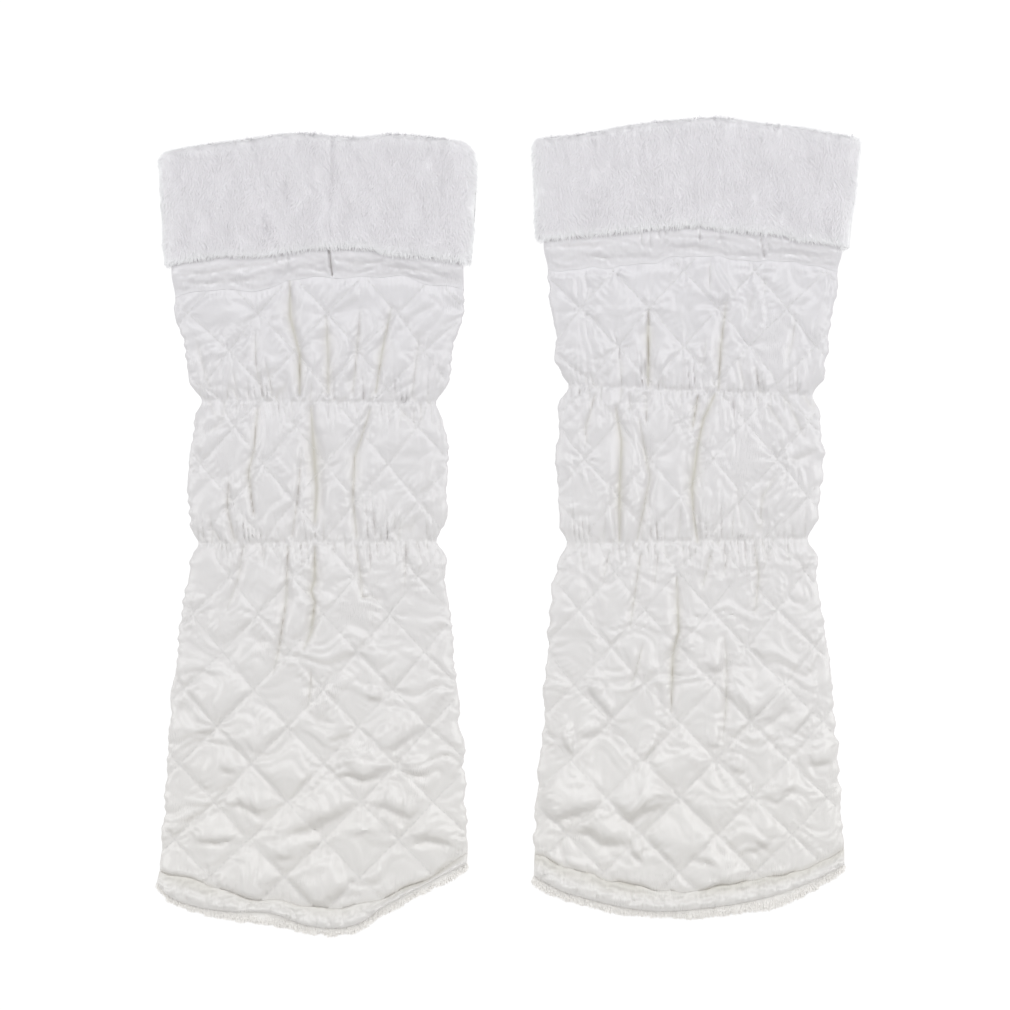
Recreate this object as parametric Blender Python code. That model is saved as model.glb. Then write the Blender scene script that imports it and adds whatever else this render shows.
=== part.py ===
"""A pair of quilted satin leg warmers with turned-down plush cuffs, laid flat side by side.

Each leg is a flattened tube of a front and a back panel.  Working from the hem up, a tube has a plush
lining that peeps out below a padded satin hem band, a diamond-quilted shell gathered by two lines of
elastic, a plain satin band and a plush cuff that is turned down over the band.

The tables are in millimetres.  X runs across the pair, Y along the legs towards the cuffs, and Z is
the height above the surface that the pair lies on.
"""
from collections import namedtuple
from math import cos, exp, floor, pi, radians, sin, sqrt

import bmesh
import bpy

MM = 0.001

# Heights in the flat stack
SEAM_GAP = 0.3            # between neighbouring pieces
SHELL_MIDDLE = 5.0        # where the front and back panels of the leg meet
CUFF_MIDDLE = 9.0         # where they meet under the turned-down cuff
BAND_WALL = 3.7           # plain satin band with its lining
CUFF_HEIGHT = 19.4        # top of the front cuff's nap
LINING_WALL = 1.95        # plush lining where it shows at the hem

# Quilted shell
STITCH_WALL = 2.7         # wall on a quilting line
PUFF = 3.9                # extra wall in the middle of a diamond
LEAST_WALL = 1.5
HALF_DIAMOND_WIDE = 0.2435   # half a diamond across, as a share of the tube's half width
HALF_DIAMOND_HIGH = 19.71    # half a diamond along the leg
CELLS = 4                 # mesh cells in half a diamond
HEM_BLEND = 21.0          # above the hem seam the rows bend to follow it
BAND_BLEND = 4.5
EDGE_WALL = 1.3           # wall at the fold along each side
EDGE_ROUND = 8.0          # width over which a side rounds off
SCALLOP = 0.7             # how far the puffs push the sides out
FOLD_DEPTH = 1.5          # depth of a main fold of strength 1
FOLD_SPREAD = 4.0
FOLD_FADE = 0.15          # share of a fold's length over which it fades beyond each end

# Elastic lines
NOTCH_DEPTH = 5.0         # how far an elastic pulls each side in
NOTCH_REACH = 6.0
PINCH = 2.9               # how far it pulls the wall down
PINCH_REACH = 2.4
CALM_REACH = 8.0          # quilting lies flatter within this distance
RIM = 1.3                 # the cloth swells on both sides of the line
RIM_OFFSET = 5.5
RUFFLE = 0.55             # height of the fine ruffles along the line
RUFFLE_CUTS = 2           # cuts in each mesh cell, so that a cell holds one and a half ruffles

# Satin band
BAND_ROWS = (0.0, 0.28, 0.56, 1.0)   # shares of the band; it climbs up to the third and lies level after
BAND_PUCKER = 0.35
BAND_PUCKERS = 12         # on each side of the middle
BAND_PUCKER_REACH = 0.4   # share of the half width
BAND_WRINKLE = 0.3
BAND_WRINKLE_PHASE = 7.0

# Hem: shares down the strip and of its full wall
HEM_ROLL = 3.5            # padded hem band
HEM_PUCKER = 0.45
LEAST_EDGE = 1.0          # wall left at the hem's rounded ends
HEM_PROFILE = ((0.0, 0.35), (0.3, 0.95), (0.72, 1.0), (1.0, 0.25))
FLAT_PROFILE = ((0.0, 1.0), (1.0, 1.0))

# Cuff: (in from the lip or the fold, share of the wall there), and shares of the way from lip to fold
LIP_PROFILE = ((1.2, 0.0), (0.1, 0.22), (0.0, 0.55), (1.1, 0.86))
FACE_PROFILE = (0.06, 0.18, 0.35, 0.53, 0.71, 0.87)
FOLD_PROFILE = ((2.6, 0.88), (0.6, 0.60), (0.0, 0.30), (0.5, 0.0))
CUFF_ROUND = 10.0         # width over which the cuff's sides round off
CUFF_EDGE = 2.4           # wall at its sides
CLOSED_SIDE = 2.2         # the pocket over the band is closed this far in from the sides
CUFF_TUCK = 6.0           # how far the band runs up under the cuff
TUCK_ROOM = 1.5           # free space at the end of the tuck
CUFF_SIDE = 4.2           # the cuff stands this far out beyond the tucked band
NAP_SWELL = 0.45          # slow swells of the plush

Width = namedtuple("Width", "y left right")
Point = namedtuple("Point", "x y")
Elastic = namedtuple("Elastic", "y_left y_right")
Fold = namedtuple("Fold", "x_top y_top x_end y_end bow strength")
Lattice = namedtuple("Lattice", "share y")      # a crossing of two quilting lines
Row = namedtuple("Row", "y_left y_right pull seam")   # pull: how far a mesh row follows a seam
Leg = namedtuple("Leg", "side tube cuff cuff_top cuff_lip band_seam hem_seam hem_edge lining_edge"
                        " elastics lattice folds")

LEFT = Leg(
    side="left",
    tube=(Width(-190, -184.6, -22.0), Width(-165, -182.2, -22.1), Width(-140, -180.4, -23.2),
          Width(-106, -178.5, -26.0), Width(-75, -175.5, -28.2), Width(-50, -172.5, -30.5),
          Width(-25, -168.6, -33.6), Width(0, -167.6, -33.6), Width(32, -167.0, -33.4),
          Width(60, -165.8, -34.0), Width(82, -168.2, -32.0), Width(108, -173.5, -26.0),
          Width(136, -177.0, -22.3)),
    cuff=(Width(136, -181.1, -19.7), Width(146, -181.7, -18.9), Width(160, -181.5, -17.9),
          Width(171, -182.7, -16.8), Width(182, -184.0, -17.0), Width(206, -183.9, -17.0)),
    cuff_top=(Point(-184, 190), Point(-180, 195.5), Point(-170, 198.5), Point(-135, 203.5),
              Point(-110, 206.5), Point(-90, 205.0), Point(-78, 204.2), Point(-62, 206.0),
              Point(-36, 203.8), Point(-22, 200.6), Point(-17, 195)),
    cuff_lip=(Point(-181, 136), Point(-174, 136.6), Point(-157, 140), Point(-126, 140.6),
              Point(-112, 143), Point(-94, 144.6), Point(-71, 144), Point(-60, 141),
              Point(-42, 140), Point(-20, 137)),
    band_seam=(Point(-176, 120.3), Point(-155, 123.8), Point(-126, 124.2), Point(-114, 130.3),
               Point(-94, 130.6), Point(-59, 131), Point(-41, 127), Point(-24, 124)),
    hem_seam=(Point(-184, -181), Point(-163, -187), Point(-133, -196.2), Point(-116, -196.8),
              Point(-97, -200.6), Point(-79, -198.2), Point(-63, -194), Point(-49, -188),
              Point(-33, -179.5), Point(-22, -171.6)),
    hem_edge=(Point(-185, -187), Point(-179, -194), Point(-163, -200), Point(-145, -202.4),
              Point(-126, -203), Point(-107, -209.3), Point(-91, -211), Point(-78, -208.2),
              Point(-67, -200.4), Point(-57, -195), Point(-37, -184.3), Point(-22.2, -177)),
    lining_edge=(Point(-185, -189.5), Point(-178, -196.8), Point(-163, -202.6), Point(-140, -207.4),
                 Point(-120, -210.2), Point(-97, -214.4), Point(-84, -213.6), Point(-77, -211),
                 Point(-70, -205.8), Point(-58, -200), Point(-47, -193.4), Point(-34, -187.2),
                 Point(-22, -179.6)),
    elastics=(Elastic(66.0, 64.8), Elastic(-9.1, -7.8)),
    lattice=Lattice(-0.67, -26.1),
    folds=(Fold(-165, 100, -157, 72, 0, 1.2), Fold(-133, 102, -124, 68, -3, 1.3),
           Fold(-115, 127, -110, 69, -2, 2.4), Fold(-96, 112, -95, 69, 0, 1.7),
           Fold(-78, 114, -82, 69, 0, 1.4), Fold(-62, 116, -70, 69, 1, 2.2),
           Fold(-47, 100, -51, 68, 0, 1.2), Fold(-147, 26, -144, -8, -2, 1.3),
           Fold(-132, 62, -134, 6, -4, 2.0), Fold(-109, 42, -114, -6, 1, 1.4),
           Fold(-104, 62, -102, 2, 1, 2.7), Fold(-73, 61, -80, -6, -5, 2.2),
           Fold(-140, -12, -149, -46, 2, 1.4), Fold(-116, -11, -124, -78, 0, 1.9),
           Fold(-102, -11, -107, -66, 2, 2.3), Fold(-104, -76, -107, -98, 0, 1.2),
           Fold(-80, -11, -67, -39, -3, 1.5), Fold(-54, -12, -55, -34, 0, 1.2)),
)

RIGHT = Leg(
    side="right",
    tube=(Width(-186, 13.0, 176.2), Width(-160, 14.0, 175.2), Width(-135, 15.6, 173.0),
          Width(-94, 18.5, 170.4), Width(-58, 20.8, 166.3), Width(-28, 24.0, 162.0),
          Width(0, 26.4, 161.6), Width(22, 26.3, 163.1), Width(50, 26.0, 163.6),
          Width(76, 26.8, 164.6), Width(95, 25.0, 167.3), Width(120, 21.8, 171.0),
          Width(146, 18.9, 174.6)),
    cuff=(Width(148, 13.9, 178.7), Width(163, 13.5, 180.0), Width(175, 13.0, 181.6),
          Width(192, 12.1, 184.4), Width(214, 12.0, 185.4)),
    cuff_top=(Point(12, 198), Point(15, 203), Point(22, 204.2), Point(42, 206.6),
              Point(63, 210.6), Point(95, 214.0), Point(112, 214.4), Point(126, 212),
              Point(150, 209.4), Point(168, 206), Point(180, 203.6), Point(185, 199)),
    cuff_lip=(Point(14, 149.6), Point(20, 149.2), Point(33, 150.6), Point(61, 153), Point(80, 155),
              Point(103, 156), Point(113, 154), Point(145, 151.2), Point(154, 148.6),
              Point(170, 147), Point(179, 145)),
    band_seam=(Point(20, 134.2), Point(51, 136.2), Point(75, 138.6), Point(85, 141),
               Point(105, 141.7), Point(124, 139.2), Point(148, 138.6), Point(174, 134)),
    hem_seam=(Point(13, -172.5), Point(39, -181.7), Point(66, -188.3), Point(90, -192.2),
              Point(105, -190.1), Point(135, -184.7), Point(148, -182.3), Point(161, -177.5),
              Point(176, -169.4)),
    hem_edge=(Point(13, -183.4), Point(27, -191.3), Point(43, -196.1), Point(61, -200.3),
              Point(81, -202.2), Point(105, -200.3), Point(124, -197.3), Point(142, -193),
              Point(160, -186), Point(176, -177.6)),
    lining_edge=(Point(13, -187), Point(18, -191), Point(33, -197), Point(57, -202.8),
                 Point(87, -205.4), Point(112, -204.2), Point(136, -200.6), Point(148, -197),
                 Point(163, -189.6), Point(176, -180.2)),
    elastics=(Elastic(73.8, 68.6), Elastic(-9.2, -6.4)),
    lattice=Lattice(-0.55, -181.3),
    folds=(Fold(42, 82, 45, 72, 0, 1.1), Fold(58, 93, 59, 75, 0, 1.3),
           Fold(73, 113, 73, 75, 0, 2.4), Fold(105, 137, 105, 122, 0, 1.2),
           Fold(114, 118, 110, 73, -1, 2.0), Fold(130, 84, 132, 72, 0, 1.2),
           Fold(150, 110, 145, 85, 2, 1.4), Fold(45, 69, 41, 42, -2, 1.4),
           Fold(56, 62, 58, -7, 2, 2.4), Fold(68, 60, 67, -7, 6, 1.9),
           Fold(98, 68, 96, 50, 0, 1.9), Fold(108, 68, 99, -7, -6, 2.5),
           Fold(136, 63, 144, 51, 0, 1.2), Fold(140, 26, 132, 4, -2, 1.2),
           Fold(88, -27, 85, -98, 2, 2.2), Fold(129, -11, 129, -46, 2, 1.6),
           Fold(113, -58, 112, -113, 1, 1.3), Fold(69, -15, 63, -55, 0, 1.4),
           Fold(70, -62, 63, -85, 0, 1.3), Fold(106, -14, 101, -34, 0, 1.4)),
)

SATIN = ("quilted_satin", (0.790, 0.775, 0.745), 0.30)
BAND_SATIN = ("plain_satin", (0.770, 0.762, 0.745), 0.33)
PLUSH = ("plush", (0.745, 0.740, 0.775), 0.95)
LINING_PLUSH = ("lining_plush", (0.745, 0.740, 0.750), 0.95)


# ---------------------------------------------------------------- curves and easing
def spline(knots, at):
    """Value at a place on a smooth curve through (place, value) knots, level beyond its ends."""
    if at <= knots[0][0]:
        return knots[0][1]
    if at >= knots[-1][0]:
        return knots[-1][1]
    start = max(i for i, knot in enumerate(knots[:-1]) if knot[0] <= at)
    (low, first), (high, second) = knots[start], knots[start + 1]
    before, after = knots[max(start - 1, 0)], knots[min(start + 2, len(knots) - 1)]
    span = high - low
    t = (at - low) / span
    slope_in = (second - before[1]) / (high - before[0]) * span
    slope_out = (after[1] - first) / (after[0] - low) * span
    return (first * (1 + 2 * t) * (1 - t) ** 2 + slope_in * t * (1 - t) ** 2
            + second * t * t * (3 - 2 * t) + slope_out * t * t * (t - 1))


def mix(first, second, share):
    """The value a share of the way from first to second."""
    return first + (second - first) * share


def ease(value):
    """A smooth step from 0 to 1."""
    value = min(max(value, 0.0), 1.0)
    return value * value * (3 - 2 * value)


def bell(distance, reach):
    """A bell curve of height 1."""
    return exp(-(distance / reach) ** 2)


def round_off(distance, reach):
    """A quarter circle that rises from 0 at an edge to 1 at its reach."""
    return sqrt(max(1 - max(1 - distance / reach, 0.0) ** 2, 0.0))


def edge_y(points, x):
    """Y of a drawn edge at an x."""
    return spline(points, x)


# ---------------------------------------------------------------- the leg's plan
def elastic_y(elastic, share):
    """Y of an elastic line at a share of -1 (left) to 1 (right) across the leg."""
    return mix(elastic.y_left, elastic.y_right, (share + 1) / 2)


def sides(table, y):
    """Left and right x of a leg at a height along it."""
    left = spline([(row.y, row.left) for row in table], y)
    right = spline([(row.y, row.right) for row in table], y)
    return left, right


def tube_x(leg, share, y):
    """X of a place on the tube, drawn in at the elastics and pushed out by the puffs."""
    left, right = sides(leg.tube, y)
    drawn = sum(NOTCH_DEPTH * bell(y - elastic_y(line, share), NOTCH_REACH) for line in leg.elastics)
    pushed = SCALLOP * abs(sin(pi * (y - leg.lattice.y) / HALF_DIAMOND_HIGH / 2))
    half = (right - left) / 2 - drawn + pushed - SCALLOP / 2
    return (left + right) / 2 + share * half


def seam_y(leg, seam, share):
    """Y of a cross seam at a share across the leg."""
    middle = sum(point.y for point in seam) / len(seam)
    return edge_y(seam, tube_x(leg, share, middle))


def side_distance(leg, share, y):
    """How far a place on the tube is from its nearer side."""
    left, right = sides(leg.tube, y)
    return (1 - abs(share)) * (right - left) / 2


# ---------------------------------------------------------------- meshes
def parameter_grid(columns, rows):
    """A flat grid whose vertices lie at whole column and row numbers."""
    mesh = bmesh.new()
    bmesh.ops.create_grid(mesh, x_segments=columns, y_segments=rows, size=0.5)
    for vertex in mesh.verts:
        vertex.co.x = round((vertex.co.x + 0.5) * columns)
        vertex.co.y = round((vertex.co.y + 0.5) * rows)
    return mesh


def cut_row(mesh, row, first, last, cuts):
    """Divide the edges along one row, between two columns."""
    along = [edge for edge in mesh.edges
             if all(abs(v.co.y - row) < 0.01 and first <= v.co.x <= last for v in edge.verts)]
    bmesh.ops.subdivide_edges(mesh, edges=along, cuts=cuts)


def split_cells(mesh, falls):
    """Split each four-sided cell on the diagonal that falls() chooses, and the rest in any way."""
    for face in [face for face in mesh.faces if len(face.verts) == 4]:
        low = min(face.verts, key=lambda v: v.co.x + v.co.y)
        centre = face.calc_center_median()
        corners = list(face.verts)
        start = corners.index(low)
        if falls(centre.x, centre.y):
            start += 1
        bmesh.utils.face_split(face, corners[start % 4], corners[(start + 2) % 4])
    bmesh.ops.triangulate(mesh, faces=[face for face in mesh.faces if len(face.verts) > 3])


def is_level(face):
    """Whether all of a face lies at one height."""
    heights = [vertex.co.z for vertex in face.verts]
    return max(heights) - min(heights) < 0.001 * MM


def wall(mesh, top, under):
    """Turn a parameter grid into a closed wall; what is level in its underside becomes one face."""
    lower = list(mesh.faces)
    grown = bmesh.ops.extrude_face_region(mesh, geom=lower)["geom"]
    upper = {item for item in grown if isinstance(item, bmesh.types.BMVert)}
    for vertex in mesh.verts:
        place = top if vertex in upper else under
        vertex.co = place(vertex.co.x, vertex.co.y)
        vertex.co *= MM
    bmesh.ops.dissolve_faces(mesh, faces=[face for face in lower if is_level(face)])
    bmesh.ops.recalc_face_normals(mesh, faces=mesh.faces[:])
    return mesh


def ring_loft(sections):
    """Close a row of equal rings of points into one body with capped ends."""
    columns, around = len(sections) - 1, len(sections[0])
    mesh = parameter_grid(columns, around)
    for vertex in mesh.verts:
        vertex.co = sections[round(vertex.co.x)][round(vertex.co.y) % around]
        vertex.co *= MM
    bmesh.ops.remove_doubles(mesh, verts=mesh.verts[:], dist=1e-6)
    bmesh.ops.holes_fill(mesh, edges=[edge for edge in mesh.edges if edge.is_boundary])
    bmesh.ops.recalc_face_normals(mesh, faces=mesh.faces[:])
    return mesh


def cloth(name, finish, mesh, collection, parent):
    """Add a named object with its own material."""
    label, colour, roughness = finish
    material = bpy.data.materials.new(f"{name}_{label}")
    material.use_nodes = True
    shader = material.node_tree.nodes["Principled BSDF"]
    shader.inputs["Base Color"].default_value = (*colour, 1.0)
    shader.inputs["Roughness"].default_value = roughness
    shader.inputs["Metallic"].default_value = 0.0
    data = bpy.data.meshes.new(name)
    mesh.to_mesh(data)
    mesh.free()
    data.materials.append(material)
    data.shade_smooth()
    data.set_sharp_from_angle(angle=radians(50))
    piece = bpy.data.objects.new(name, data)
    piece.parent = parent
    collection.objects.link(piece)
    return piece


# ---------------------------------------------------------------- quilted shell
def lattice_cells(leg, share, y):
    """The two diagonal quilting counts at a place; a line runs wherever one is whole."""
    across = (share - leg.lattice.share) / HALF_DIAMOND_WIDE
    along = (y - leg.lattice.y) / HALF_DIAMOND_HIGH
    return (across + along) / 2, (across - along) / 2


def shell_columns(leg):
    """Shares across the leg: both sides, and every lattice column between them."""
    step = HALF_DIAMOND_WIDE / CELLS
    first = leg.lattice.share - step * floor((leg.lattice.share + 1) / step - 0.4)
    inner = [first + step * i for i in range(int((1 - first) / step - 0.4) + 1)]
    return [-1.0] + inner + [1.0]


def back_columns(rounded=(0.972, 0.92), plain=14):
    """Shares across the plain back: close at the rounded sides and even between them."""
    inner = rounded[-1]
    middle = [mix(-inner, inner, i / plain) for i in range(1, plain)]
    return [-1.0] + [-share for share in rounded] + middle + [*reversed(rounded), 1.0]


def shell_rows(leg, step, hem_steps, band_steps):
    """Rows up the leg: along the hem seam, over the lattice with the elastics, along the band seam."""
    low = max(point.y for point in leg.hem_seam) + HEM_BLEND
    high = min(point.y for point in leg.band_seam) - BAND_BLEND
    first = leg.lattice.y + step * (floor((low - leg.lattice.y) / step) + 1)
    rows = [Row(first + step * i, first + step * i, 0.0, None) for i in range(int((high - first) / step) + 1)]
    for line in leg.elastics:
        middle = (line.y_left + line.y_right) / 2
        tilt = abs(line.y_left - line.y_right) / 2
        rows = [row for row in rows
                if row.seam or abs(row.y_left - middle) > PINCH_REACH + tilt + step / 2]
        rows += [Row(line.y_left + off, line.y_right + off, 0.0, line) for off in
                 (-PINCH_REACH, 0.0, PINCH_REACH)]
    rows.sort(key=lambda row: row.y_left + row.y_right)
    first, last = rows[0], rows[-1]
    under = [first._replace(pull=i / hem_steps, seam=leg.hem_seam) for i in range(hem_steps, 0, -1)]
    over = [last._replace(pull=i / band_steps, seam=leg.band_seam) for i in range(1, band_steps + 1)]
    return under + rows + over


def shell_place(leg, columns, rows, column, row):
    """Share, x and y of a place on the shell's grid."""
    first = min(int(column), len(columns) - 2)
    share = mix(columns[first], columns[first + 1], column - first)
    line = rows[round(row)]
    y = mix(line.y_left, line.y_right, (share + 1) / 2)
    if line.pull:
        gap = SEAM_GAP / 2 if line.seam is leg.hem_seam else -SEAM_GAP / 2
        y = mix(y, seam_y(leg, line.seam, share) + gap, line.pull)
    return share, tube_x(leg, share, y), y


def fold_depth(leg, x, y):
    """Depth of the main folds at a place: bowed troughs that fade at both ends."""
    depth = 0.0
    for fold in leg.folds:
        run = (y - fold.y_top) / (fold.y_end - fold.y_top)
        if -FOLD_FADE < run < 1 + FOLD_FADE:
            middle = mix(fold.x_top, fold.x_end, run) + fold.bow * sin(pi * min(max(run, 0), 1))
            fade = ease((run / FOLD_FADE + 1) / 2) * ease(((1 - run) / FOLD_FADE + 1) / 2)
            depth += FOLD_DEPTH * fold.strength * fade * bell(x - middle, FOLD_SPREAD)
    return depth


def quilt_wall(leg, share, x, y):
    """Thickness of the quilted front at a place."""
    line_one, line_two = lattice_cells(leg, share, y)
    puff = (abs(sin(pi * line_one)) * abs(sin(pi * line_two))) ** 0.6
    shape = STITCH_WALL - fold_depth(leg, x, y)
    calm = 1.0
    for line in leg.elastics:
        away = y - elastic_y(line, share)
        calm -= 0.75 * bell(away, CALM_REACH)
        shape += RIM * bell(abs(away) - RIM_OFFSET, PINCH_REACH) - PINCH * bell(away, PINCH_REACH)
        shape += PINCH * bell(away, CALM_REACH * 2)
    shape += PUFF * puff * calm
    to_seam = min(edge_y(leg.band_seam, x) - y, y - edge_y(leg.hem_seam, x))
    shape = mix(STITCH_WALL, shape, ease(to_seam / EDGE_ROUND))
    rounding = round_off(side_distance(leg, share, y), EDGE_ROUND)
    return mix(EDGE_WALL, max(shape, LEAST_WALL), rounding)


def front_shell(leg, columns):
    """The quilted front: diamonds, folds and ruffled elastic lines over a plain inside."""
    rows = shell_rows(leg, HALF_DIAMOND_HIGH / CELLS, hem_steps=8, band_steps=3)
    inside = SHELL_MIDDLE + SEAM_GAP / 2
    elastic_rows = [i for i, row in enumerate(rows)
                    if row.seam in leg.elastics and row.y_left == row.seam.y_left]

    def top(column, row):
        share, x, y = shell_place(leg, columns, rows, column, row)
        height = inside + quilt_wall(leg, share, x, y)
        if round(row) in elastic_rows and 1 <= column <= len(columns) - 2:
            height += RUFFLE * cos(pi * (RUFFLE_CUTS + 1) * column)
        return x, y, height

    def under(column, row):
        share, x, y = shell_place(leg, columns, rows, column, row)
        return x, y, inside

    def falls(column, row):
        share, x, y = shell_place(leg, columns, rows, column, floor(row))
        share, x, above = shell_place(leg, columns, rows, column, floor(row) + 1)
        line_one, line_two = lattice_cells(leg, share, (y + above) / 2)
        return abs(sin(pi * line_one)) < abs(sin(pi * line_two))

    mesh = parameter_grid(len(columns) - 1, len(rows) - 1)
    for row in elastic_rows:
        cut_row(mesh, row, 1, len(columns) - 2, RUFFLE_CUTS)
    split_cells(mesh, falls)
    return wall(mesh, top, under)


def back_shell(leg, columns):
    """The back of the shell: plain, and flat where it rests."""
    rows = shell_rows(leg, HALF_DIAMOND_HIGH * 2 / 3, hem_steps=2, band_steps=1)
    inside = SHELL_MIDDLE - SEAM_GAP / 2

    def top(column, row):
        share, x, y = shell_place(leg, columns, rows, column, row)
        return x, y, inside

    def under(column, row):
        share, x, y = shell_place(leg, columns, rows, column, row)
        rounding = round_off(side_distance(leg, share, y), EDGE_ROUND)
        return x, y, (inside - EDGE_WALL) * (1 - rounding)

    return wall(parameter_grid(len(columns) - 1, len(rows) - 1), top, under)


# ---------------------------------------------------------------- satin band under the cuff
def band_place(leg, share, along):
    """X and y of a place on the band, from its lower seam up to its tucked end."""
    y_low = seam_y(leg, leg.band_seam, share) + SEAM_GAP / 2
    x_low = tube_x(leg, share, y_low)
    left, right = leg.cuff[0].left + CUFF_SIDE, leg.cuff[0].right - CUFF_SIDE
    x_high = mix(left, right, (share + 1) / 2)
    y_high = edge_y(leg.cuff_lip, x_high) + CUFF_TUCK - SEAM_GAP
    return mix(x_low, x_high, ease(along / BAND_ROWS[2])), mix(y_low, y_high, along)


def band_rise(along):
    """Share of the climb from the leg's height onto the cuff's at a share of the band."""
    return ease(along / BAND_ROWS[2])


def satin_band(leg, shares, front):
    """Half of the plain band that climbs from the shell to under the turned-down cuff."""
    sign = 1 if front else -1

    def inner(along):
        return mix(SHELL_MIDDLE, CUFF_MIDDLE, band_rise(along)) + sign * SEAM_GAP

    def outer(share, along):
        rounding = round_off(side_distance(leg, share, leg.band_seam[0].y), EDGE_ROUND)
        puckers = BAND_PUCKER * cos(2 * pi * BAND_PUCKERS * share) * bell(share, BAND_PUCKER_REACH)
        wrinkles = (puckers + BAND_WRINKLE * sin(BAND_WRINKLE_PHASE * along)) * (0 < along < 1) * front
        full = mix(STITCH_WALL, BAND_WALL, band_rise(along)) + wrinkles * (1 - band_rise(along) / 2)
        height = inner(along) + sign * mix(EDGE_WALL, full, rounding)
        return height if front else max(height, mix(0, SHELL_MIDDLE, band_rise(along)))

    def face(place):
        def at(column, row):
            share, along = shares[round(column)], BAND_ROWS[round(row)]
            x, y = band_place(leg, share, along)
            return x, y, place(share, along)
        return at

    inside, outside = face(lambda share, along: inner(along)), face(outer)
    mesh = parameter_grid(len(shares) - 1, len(BAND_ROWS) - 1)
    return wall(mesh, outside, inside) if front else wall(mesh, inside, outside)


# ---------------------------------------------------------------- plush cuff
def nap(x, y):
    """Slow swells of the plush, each some tens of millimetres long."""
    broad = sin(x / 7.3 + 1.3 * sin(y / 11))
    narrow = sin(x / 3.9 - y / 17) * cos(y / 9.1)
    return NAP_SWELL * (broad + 0.8 * narrow)


def cuff_ring(leg, share, front):
    """Ring of points round the cuff at one place across: pocket, lip, face, top fold and inside."""
    middle_row = leg.cuff[len(leg.cuff) // 2]
    x = mix(middle_row.left, middle_row.right, (share + 1) / 2)
    lip, fold = edge_y(leg.cuff_lip, x), edge_y(leg.cuff_top, x)
    from_side = (1 - abs(share)) * (middle_row.right - middle_row.left) / 2
    inside = CUFF_MIDDLE + SEAM_GAP / 2
    face = mix(inside + CUFF_EDGE, CUFF_HEIGHT, round_off(from_side, CUFF_ROUND))
    is_open = from_side > CLOSED_SIDE + SEAM_GAP
    pocket = CUFF_MIDDLE + BAND_WALL + 2 * SEAM_GAP if is_open else inside
    tuck = lip + CUFF_TUCK + TUCK_ROOM
    ring = [(tuck, inside), (tuck if is_open else mix(lip, tuck, 0.9), pocket)]
    ring += [(lip + back, mix(pocket, face, part)) for back, part in LIP_PROFILE]
    ring += [(y, face + nap(x, y) * front) for y in (mix(lip, fold, part) for part in FACE_PROFILE)]
    ring += [(fold - back, mix(inside, face, part)) for back, part in FOLD_PROFILE]
    points = []
    for y, height in ring:
        left, right = sides(leg.cuff, y)
        level = height if front else max(2 * CUFF_MIDDLE - height, 0.0)
        points.append((mix(left, right, (share + 1) / 2), y, level))
    return points


def plush_cuff(leg, columns, front):
    """Half of the cuff: one rounded body for its hidden layers, parted at the lip over the band."""
    half = (leg.cuff[-1].right - leg.cuff[-1].left) / 2
    closed, opened = 1 - CLOSED_SIDE / half, 1 - (CUFF_SIDE - SEAM_GAP) / half
    middle = [mix(-opened, opened, i / columns) for i in range(1, columns)]
    shares = [-1.0, -closed, -opened, *middle, opened, closed, 1.0]
    return ring_loft([cuff_ring(leg, share, front) for share in shares])


# ---------------------------------------------------------------- hem
def hem_place(leg, edge, share, along):
    """X and y of a place between the hem seam and an edge below it."""
    y_high = seam_y(leg, leg.hem_seam, share) - SEAM_GAP / 2
    x_high = tube_x(leg, share, y_high)
    x_low = mix(edge[0].x, edge[-1].x, (share + 1) / 2)
    return mix(x_high, x_low, along), mix(y_high, edge_y(edge, x_low), along)


def hem_strip(leg, edge, shares, profile, low, high, front):
    """A strip along the hem; the profile's rows are shares down the strip and of its wall."""
    sign = 1 if front else -1

    def place(column, row, level):
        x, y = hem_place(leg, edge, shares[round(column)], profile[round(row)][0])
        return x, y, SHELL_MIDDLE + sign * level

    def outer(column, row):
        distance = side_distance(leg, shares[round(column)], leg.hem_seam[0].y)
        rounding = round_off(distance, EDGE_ROUND / 2) * profile[round(row)][1]
        pucker = HEM_PUCKER * cos(pi * column) * (front and 0 < row < len(profile) - 1)
        return place(column, row, mix(low + LEAST_EDGE, high + pucker, rounding))

    def inner(column, row):
        return place(column, row, low)

    mesh = parameter_grid(len(shares) - 1, len(profile) - 1)
    return wall(mesh, outer, inner) if front else wall(mesh, inner, outer)


def hem_band(leg, shares, front):
    """Half of the padded satin band along the hem, which rolls over the lining in front."""
    low = SEAM_GAP / 2 + LINING_WALL + SEAM_GAP
    if front:
        return hem_strip(leg, leg.hem_edge, shares, HEM_PROFILE, low, low + HEM_ROLL, front)
    return hem_strip(leg, leg.hem_edge, shares, FLAT_PROFILE, low, SHELL_MIDDLE, front)


def lining(leg, shares, front):
    """Half of the plush lining, from under the hem band to its fuzzy edge below."""
    low = SEAM_GAP / 2
    return hem_strip(leg, leg.lining_edge, shares, FLAT_PROFILE, low, low + LINING_WALL, front)


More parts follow.
